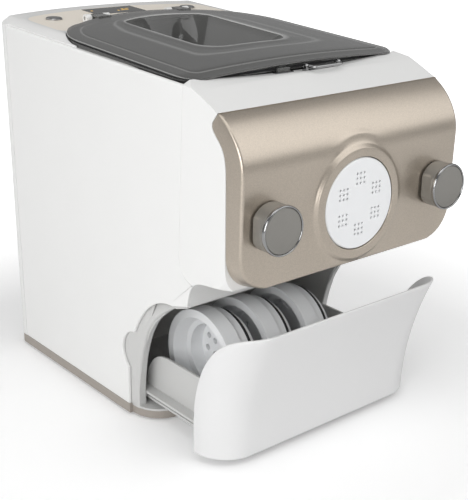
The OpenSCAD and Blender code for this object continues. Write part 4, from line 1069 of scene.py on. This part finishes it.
class Lid(Piece):
    """Smoke-clear lid: crowned plate with a sunk border, hopper, skirt and hinge knuckles.

    Rings are drawn in the lid's own frame: X, the distance up its slope from the
    front seam, and the height over its flat plane. The rings that get a painted
    highlight, by number, are the outer edge, the border's step and the plate, and
    the hopper's lip.
    """

    slope = math.radians(3.75)
    edge_z = 287.5
    plate = 2.4
    hinge = (42.0, 110.0, 301.166)
    border = 10.5
    half = 104.0
    front = -4.0
    front_fall = 17.0
    skirt_edge = 15.0
    lip = 1.2
    lip_rise = 0.5
    hopper_floor = -27.8
    hopper_foot = -30.0
    lit_rings = (((2, 3, 4), 0.45), ((12, 14), 0.2), ((13, 26), 0.35), ((31, 32, 33, 34, 35), 0.7))

    def crown(self, x: np.ndarray) -> np.ndarray:
        """Height of the crowned plate: 4 (1 - (x / half)^2)."""
        return 4.0 * (1 - (x / self.half) ** 2)

    def near_front(self, ring: np.ndarray) -> np.ndarray:
        """1 on the front edge, falling to 0 where the plate is level."""
        return 1 - soft_step(ring[:, 1] - self.front, 0.0, self.front_fall)

    def top(self, ring: np.ndarray, depth: np.ndarray) -> np.ndarray:
        """Upper skin: the crown, sunk along the border and falling off to the front edge."""
        sunk = 0.8 * (1 - soft_step(depth, self.border, self.border + 2.2))
        return self.crown(ring[:, 0]) - sunk - 1.5 * self.near_front(ring)

    def under(self, ring: np.ndarray) -> np.ndarray:
        """Lower skin: flat across, thinner along the front edge."""
        return self.crown(ring[:, 0]) - self.plate - 0.4 * self.near_front(ring)

    def placed(self, ring: np.ndarray, height: np.ndarray | float) -> np.ndarray:
        """Turns a ring of the lid's frame into X, Y, Z."""
        sine, cosine = math.sin(self.slope), math.cos(self.slope)
        height = np.broadcast_to(height, len(ring))
        return np.stack([
            ring[:, 0],
            SIZE.seam_top + ring[:, 1] * cosine - height * sine,
            self.edge_z + ring[:, 1] * sine + height * cosine,
        ], axis=1)

    def matched(self, outline: np.ndarray, like: np.ndarray, centre: np.ndarray) -> np.ndarray:
        """Points of an outline at the bearings, from a centre, that another ring's points have."""
        fine = closed_spacing(outline, 0.4)
        bearing = np.unwrap(np.arctan2(*(fine - centre).T[::-1]))
        wanted = np.arctan2(*(like - centre).T[::-1])
        wanted = bearing[0] + np.mod(wanted - bearing[0], 2 * np.pi)
        whole = np.concatenate([fine, fine[:1]])
        bearing = np.append(bearing, bearing[0] + 2 * np.pi)
        return np.stack([np.interp(wanted, bearing, whole[:, axis]) for axis in (0, 1)], axis=1)

    def body(self) -> Shell:
        """Plate and hopper as one closed band of rings."""
        outline = closed_spacing(plan_outline(self.half, self.front, 169.0, 36.0, 18.0, 30.0), 3.0)
        centre = np.array([0.0, 117.0])
        mouth = self.matched(plan_outline(42.8, 54.2, 167.8, 10.0, 20.0, 8.0), outline, centre)
        foot = self.matched(plan_outline(13.8, 68.2, 163.8, 4.0, 8.0, 6.0), outline, centre)
        slit = self.matched(np.array([(-12, 79), (12, 79), (12, 100), (-12, 100)], float), outline, centre)
        heel = inset(outline, 0.5)
        rings = [self.placed(heel, self.under(outline)), self.placed(outline, self.under(outline) + 0.5)]
        for off, down in fillet(np.full(len(outline), 0.9)):
            rings.append(self.placed(inset(outline, off), self.top(outline, off) - down))
        for depth in (1.6, 4.0, 7.0, 10.0, 10.5, 11.0, 11.6, 12.2, 12.7, 13.5, self.skirt_edge):
            ring = inset(outline, depth)
            rings.append(self.placed(ring, self.top(ring, np.full(len(ring), depth))))
        start, flare = inset(outline, self.skirt_edge), self.lip * unit(mouth - centre)
        for share in np.linspace(0, 1, 14)[1:]:
            ring = start * (1 - share) + (mouth + flare) * share
            plate = self.top(ring, np.full(len(ring), 2 * self.border))
            rings.append(self.placed(ring, plate + self.lip_rise * soft_step(share, 0.86, 0.96)))
        level = self.crown(mouth[:, 0]) + self.lip_rise
        for turn in np.radians(np.linspace(15, 90, 6)):
            down = self.lip * (1 - math.cos(turn))
            rings.append(self.placed(mouth + flare * (1 - math.sin(turn)), level - down))
        for share in np.linspace(0, 1, 8)[1:]:
            ring = mouth * (1 - share) + foot * share
            rings.append(self.placed(ring, (level - self.lip) * (1 - share) + self.hopper_floor * share))
        outside = self.matched(plan_outline(16.0, 66.0, 166.0, 4.0, 8.0, 6.0), outline, centre)
        rings += [self.placed(ring, self.hopper_floor) for ring in (foot * 0.5 + slit * 0.5, slit)]
        rings += [self.placed(ring, self.hopper_foot) for ring in (slit, outside)]
        collar = self.matched(plan_outline(44.2, 52.6, 169.2, 10.0, 20.0, 8.0), outline, centre)
        rings.append(self.placed(collar, self.under(collar)))
        for share in (0.3, 0.6, 0.8, 0.92):
            ring = collar * (1 - share) + heel * share
            rings.append(self.placed(ring, self.under(ring)))
        shell = Shell("lid_plate")
        shell.loop(np.array(rings))
        # Painted highlight share for each point, set ring by ring.
        light = np.zeros((len(rings) + 1, len(outline)))
        for rows, level in self.lit_rings:
            light[list(rows)] = level
        shell.edge_light = light.ravel()
        return shell

    def build(self) -> None:
        """Makes the plate, and the skirt, knuckles, slit bars and catch under it as a second piece."""
        self.finish(self.body(), "lid", sharp=40.0)
        shell = Shell("lid_fittings")
        outer = closed_spacing(plan_outline(101.8, 2.4, 168.0, 36.0, 18.0, 30.0), 4.0)
        inner, skirt_foot = inset(outer, 2.2), -self.plate - 0.3
        shell.loop(np.array([
            self.placed(outer, skirt_foot), self.placed(outer, self.under(outer) + 0.2),
            self.placed(inner, self.under(inner) + 0.2), self.placed(inner, skirt_foot),
        ]))
        for low, high in ((82.0, 88.0), (91.0, 97.0)):
            shell.block((-12.2, SIZE.seam_top + low, 263.2), (12.2, SIZE.seam_top + high, 265.0), 0.4)
        out, rear, high = self.hinge
        y, x, z = lathe([(1.65, -6.0), (2.9, -6.0), (3.2, -5.7), (3.2, 5.7), (2.9, 6.0), (1.65, 6.0)], 40)
        for at in (-out, out):
            shell.loop(np.stack([x + at, y + rear, z + high], axis=-1))
            shell.block((at - 6.0, 96.0, high + 0.6), (at + 6.0, rear, high + 2.8), 0.5)
        shell.block((-25.0, SIZE.seam_top - 3.8, 279.0), (-13.0, SIZE.seam_top - 2.3, 286.0), 0.3)
        self.finish(shell, "lid", sharp=40.0)


class BayRim(Piece):
    """Ledge and jamb along the drawer's opening, behind the side panels' cut-out."""

    outer_x = 104.5
    inner_x = 102.1
    ledge_x = 97.4
    corner = 2.4
    clear = 27.2
    least_reach = 10.0
    most_reach = 15.0

    def edge(self) -> np.ndarray:
        """The jamb's front edge as Y, Z, from its foot to under the nose."""
        wing = SIZE.wing_y
        low = bezier([(wing - 8.7, 25), (wing - 10.5, 45), (wing - 13, 56), (wing - 16.5, 66)], 16)
        crest = (SIZE.seam_bottom - 6, 117.5)
        high = bezier([(wing - 18, 70), (wing - 24, 93), (wing - 46, 113), crest], 51)[:36]
        return np.concatenate([[(wing - 8.7, 11.0), (wing - 8.7, 18.0)], low, high])

    def tuck(self, edge: np.ndarray) -> np.ndarray:
        """Shift inwards that clears the inner skin of the shut drawer's round corners."""
        centre = SIZE.drawer_face(edge[:, 1]) + SIZE.drawer_open + SIZE.drawer_corner
        ahead = np.clip(centre - edge[:, 0], 0, 26.5)
        return np.maximum(27.0 - np.sqrt(self.clear**2 - ahead**2), 0)

    def build(self) -> None:
        """Sweeps the angle's section along the edge on both sides."""
        edge = self.edge()
        away = -left_of(unit(np.gradient(edge, axis=0)))
        reach = np.minimum(self.most_reach, self.least_reach + 0.3 * np.abs(edge[:, 0] - edge[-1, 0]))
        section = [(reach, self.outer_x)]
        section += [(off, self.outer_x - down) for off, down in fillet(self.corner, 7)[::-1]]
        section += [(0.3, self.ledge_x), (1.9, self.ledge_x), (1.9, self.inner_x), (reach, self.inner_x)]
        rings = []
        for offset, x in section:
            point = edge + away * np.broadcast_to(offset, len(edge))[:, None]
            rings.append(np.column_stack([np.full(len(edge), x), point]))
        swept = np.array(rings).transpose(1, 0, 2)
        swept[..., 0] -= self.tuck(edge)[:, None]
        for side, name in SIDES:
            shell = Shell(f"{name}_bay_rim")
            shell.stack(swept * (side, 1, 1))
            self.finish(shell, "drawer_bay")


class LatchBail(Piece):
    """Wire catch in front of the lid, bent from one round wire."""

    middle = (15.0, -106.0, 285.6)
    wire = 1.1

    def build(self) -> None:
        """Sweeps a circle along the wire's flat path."""
        (x, y, z), wire = self.middle, self.wire
        bends = [(x - 17.4, y), (x - 15.0, y), (x - 13.9, y - 1.1)]
        bends += [tuple(p) for p in arc((x - 11.4, y - 5.5), 2.5, 180, 270, 8)]
        bends += [tuple(p) for p in arc((x + 11.4, y - 5.5), 2.5, 270, 360, 8)]
        path = np.array([*bends, (x + 13.9, y - 1.1), (x + 15.0, y), (x + 17.4, y)])
        side = left_of(unit(np.gradient(path, axis=0)))
        turn = np.linspace(0, 2 * np.pi, 20, endpoint=False)
        ring = path[:, None, :] + wire * np.cos(turn)[None, :, None] * side[:, None, :]
        height = np.broadcast_to(z + wire * np.sin(turn), ring.shape[:2])
        shell = Shell("bail")
        shell.stack(np.concatenate([ring, height[..., None]], axis=-1))
        self.finish(shell, "latch_bail")


# ------------------------------------------------------------------ studio


@dataclass
class Studio:
    """Pale floor, soft lamps and the camera."""

    camera_at: Corner = (-0.51625, -0.64720, 0.41512)
    heading: float = 0.6918
    tilt: float = 0.3503
    roll: float = 0.0087
    lens: float = 73.78
    daylight: float = 0.288
    floor_half: float = 9e3
    floor_glow: float = 0.19
    fade_start: float = 0.26
    fade_slope: float = 1.7
    aim: Corner = (0.0, 0.0, 0.15)
    lamps: tuple[tuple[str, Corner, float, float], ...] = (
        ("left", (-1.75, -0.35, 0.8), 1.3, 10.0),
        ("right", (0.9, -1.25, 1.3), 1.9, 13.0),
        ("top", (-0.3, -0.4, 2.0), 1.2, 7.0),
        ("low", (-1.25, -0.95, 0.55), 0.7, 7.0),
        ("back", (-0.7, 1.4, 1.4), 1.4, 4.0),
    )

    def build(self) -> None:
        """Sets up the whole studio."""
        scene = bpy.context.scene
        scene.view_settings.view_transform = "Standard"
        self._camera(scene)
        self._world(scene)
        self._floor()
        for lamp in self.lamps:
            self._lamp(*lamp)

    def _camera(self, scene: bpy.types.Scene) -> None:
        """Camera turned by heading, tilt and roll, in radians."""
        look = np.array([
            math.sin(self.heading) * math.cos(self.tilt),
            math.cos(self.heading) * math.cos(self.tilt),
            -math.sin(self.tilt),
        ])
        right = np.cross(look, (0.0, 0.0, 1.0))
        right /= np.linalg.norm(right)
        up = np.cross(right, look)
        side = math.cos(self.roll) * right + math.sin(self.roll) * up
        head = math.cos(self.roll) * up - math.sin(self.roll) * right
        data = bpy.data.cameras.new("viewpoint")
        data.lens = self.lens
        data.sensor_width = 36.0
        data.shift_x = 0.0014
        data.shift_y = 0.00014
        camera = bpy.data.objects.new("viewpoint", data)
        turn = Matrix((Vector(side), Vector(head), Vector(-look))).transposed()
        camera.matrix_world = Matrix.Translation(self.camera_at) @ turn.to_4x4()
        scene.collection.objects.link(camera)
        scene.camera = camera

    def _world(self, scene: bpy.types.Scene) -> None:
        """Even grey light, and plain white where the camera or clear plastic looks out."""
        world = bpy.data.worlds.new("daylight")
        world.use_nodes = True
        scene.world = world
        nodes, links = world.node_tree.nodes, world.node_tree.links
        nodes.clear()
        path = nodes.new("ShaderNodeLightPath")
        seen = nodes.new("ShaderNodeMath")
        seen.operation = "MAXIMUM"
        links.new(path.outputs["Is Camera Ray"], seen.inputs[0])
        links.new(path.outputs["Is Transmission Ray"], seen.inputs[1])
        level = nodes.new("ShaderNodeMapRange")
        level.inputs["To Min"].default_value = self.daylight
        level.inputs["To Max"].default_value = 1.0
        links.new(seen.outputs[0], level.inputs["Value"])
        back = nodes.new("ShaderNodeBackground")
        back.inputs["Color"].default_value = (1.0, 1.0, 1.0, 1.0)
        links.new(level.outputs[0], back.inputs["Strength"])
        links.new(back.outputs[0], nodes.new("ShaderNodeOutputWorld").inputs[0])

    def _floor(self) -> None:
        """Wide floor that stays white and keeps a soft shadow."""
        shell = Shell("floor")
        corners = [[(x, y, 0.0) for x in (-1, 1)] for y in (-1, 1)]
        shell.grid(np.array(corners) * self.floor_half)
        floor = shell.build(turn=False)
        recipe = Recipe("pale_floor")
        path = recipe.node("ShaderNodeLightPath", {}, {})
        seen = Signal(recipe, path.outputs["Is Camera Ray"])
        span = recipe.node("ShaderNodeVectorMath", {"operation": "LENGTH"}, {0: recipe.place})
        far = Signal(recipe, span.outputs["Value"])
        glow = seen * (self.floor_glow + ((far - self.fade_start) * self.fade_slope).clamped())
        recipe.finish(
            Base_Color=(0.88, 0.88, 0.88, 1.0),
            Roughness=0.9,
            Specular_IOR_Level=0.0,
            Emission_Color=recipe.tint(glow, (0.0, 0.0, 0.0), (1.0, 1.0, 1.0)),
            Emission_Strength=1.0,
        )
        floor.data.materials.append(recipe.material)

    def _lamp(self, name: str, at: Corner, size: float, power: float) -> None:
        """Square soft lamp that faces the machine."""
        data = bpy.data.lights.new(name, "AREA")
        data.energy = power
        data.size = size
        lamp = bpy.data.objects.new(name, data)
        lamp.location = at
        lamp.rotation_euler = (Vector(at) - Vector(self.aim)).to_track_quat("Z", "Y").to_euler()
        bpy.context.scene.collection.objects.link(lamp)


def main() -> None:
    """Builds the studio, the finishes and each part of the machine in turn."""
    logging.basicConfig(level=logging.INFO, format="%(name)s: %(message)s")
    Studio().build()
    finishes = Finishes()
    finishes.dress_frame()
    for kind in (SidePanels, FrontPanel, DrawerFront, Knobs, Lid, BayRim, LatchBail):
        kind(finishes).build()
    pairs = {f"{side}_{part}" for _, side in SIDES for part in ("side_panel", "knob", "knob_ring")}
    CarriedOver(finishes).build(pairs | {"front_panel", "drawer_front", "latch_bail", "lid"})


if __name__ == "__main__":
    main()
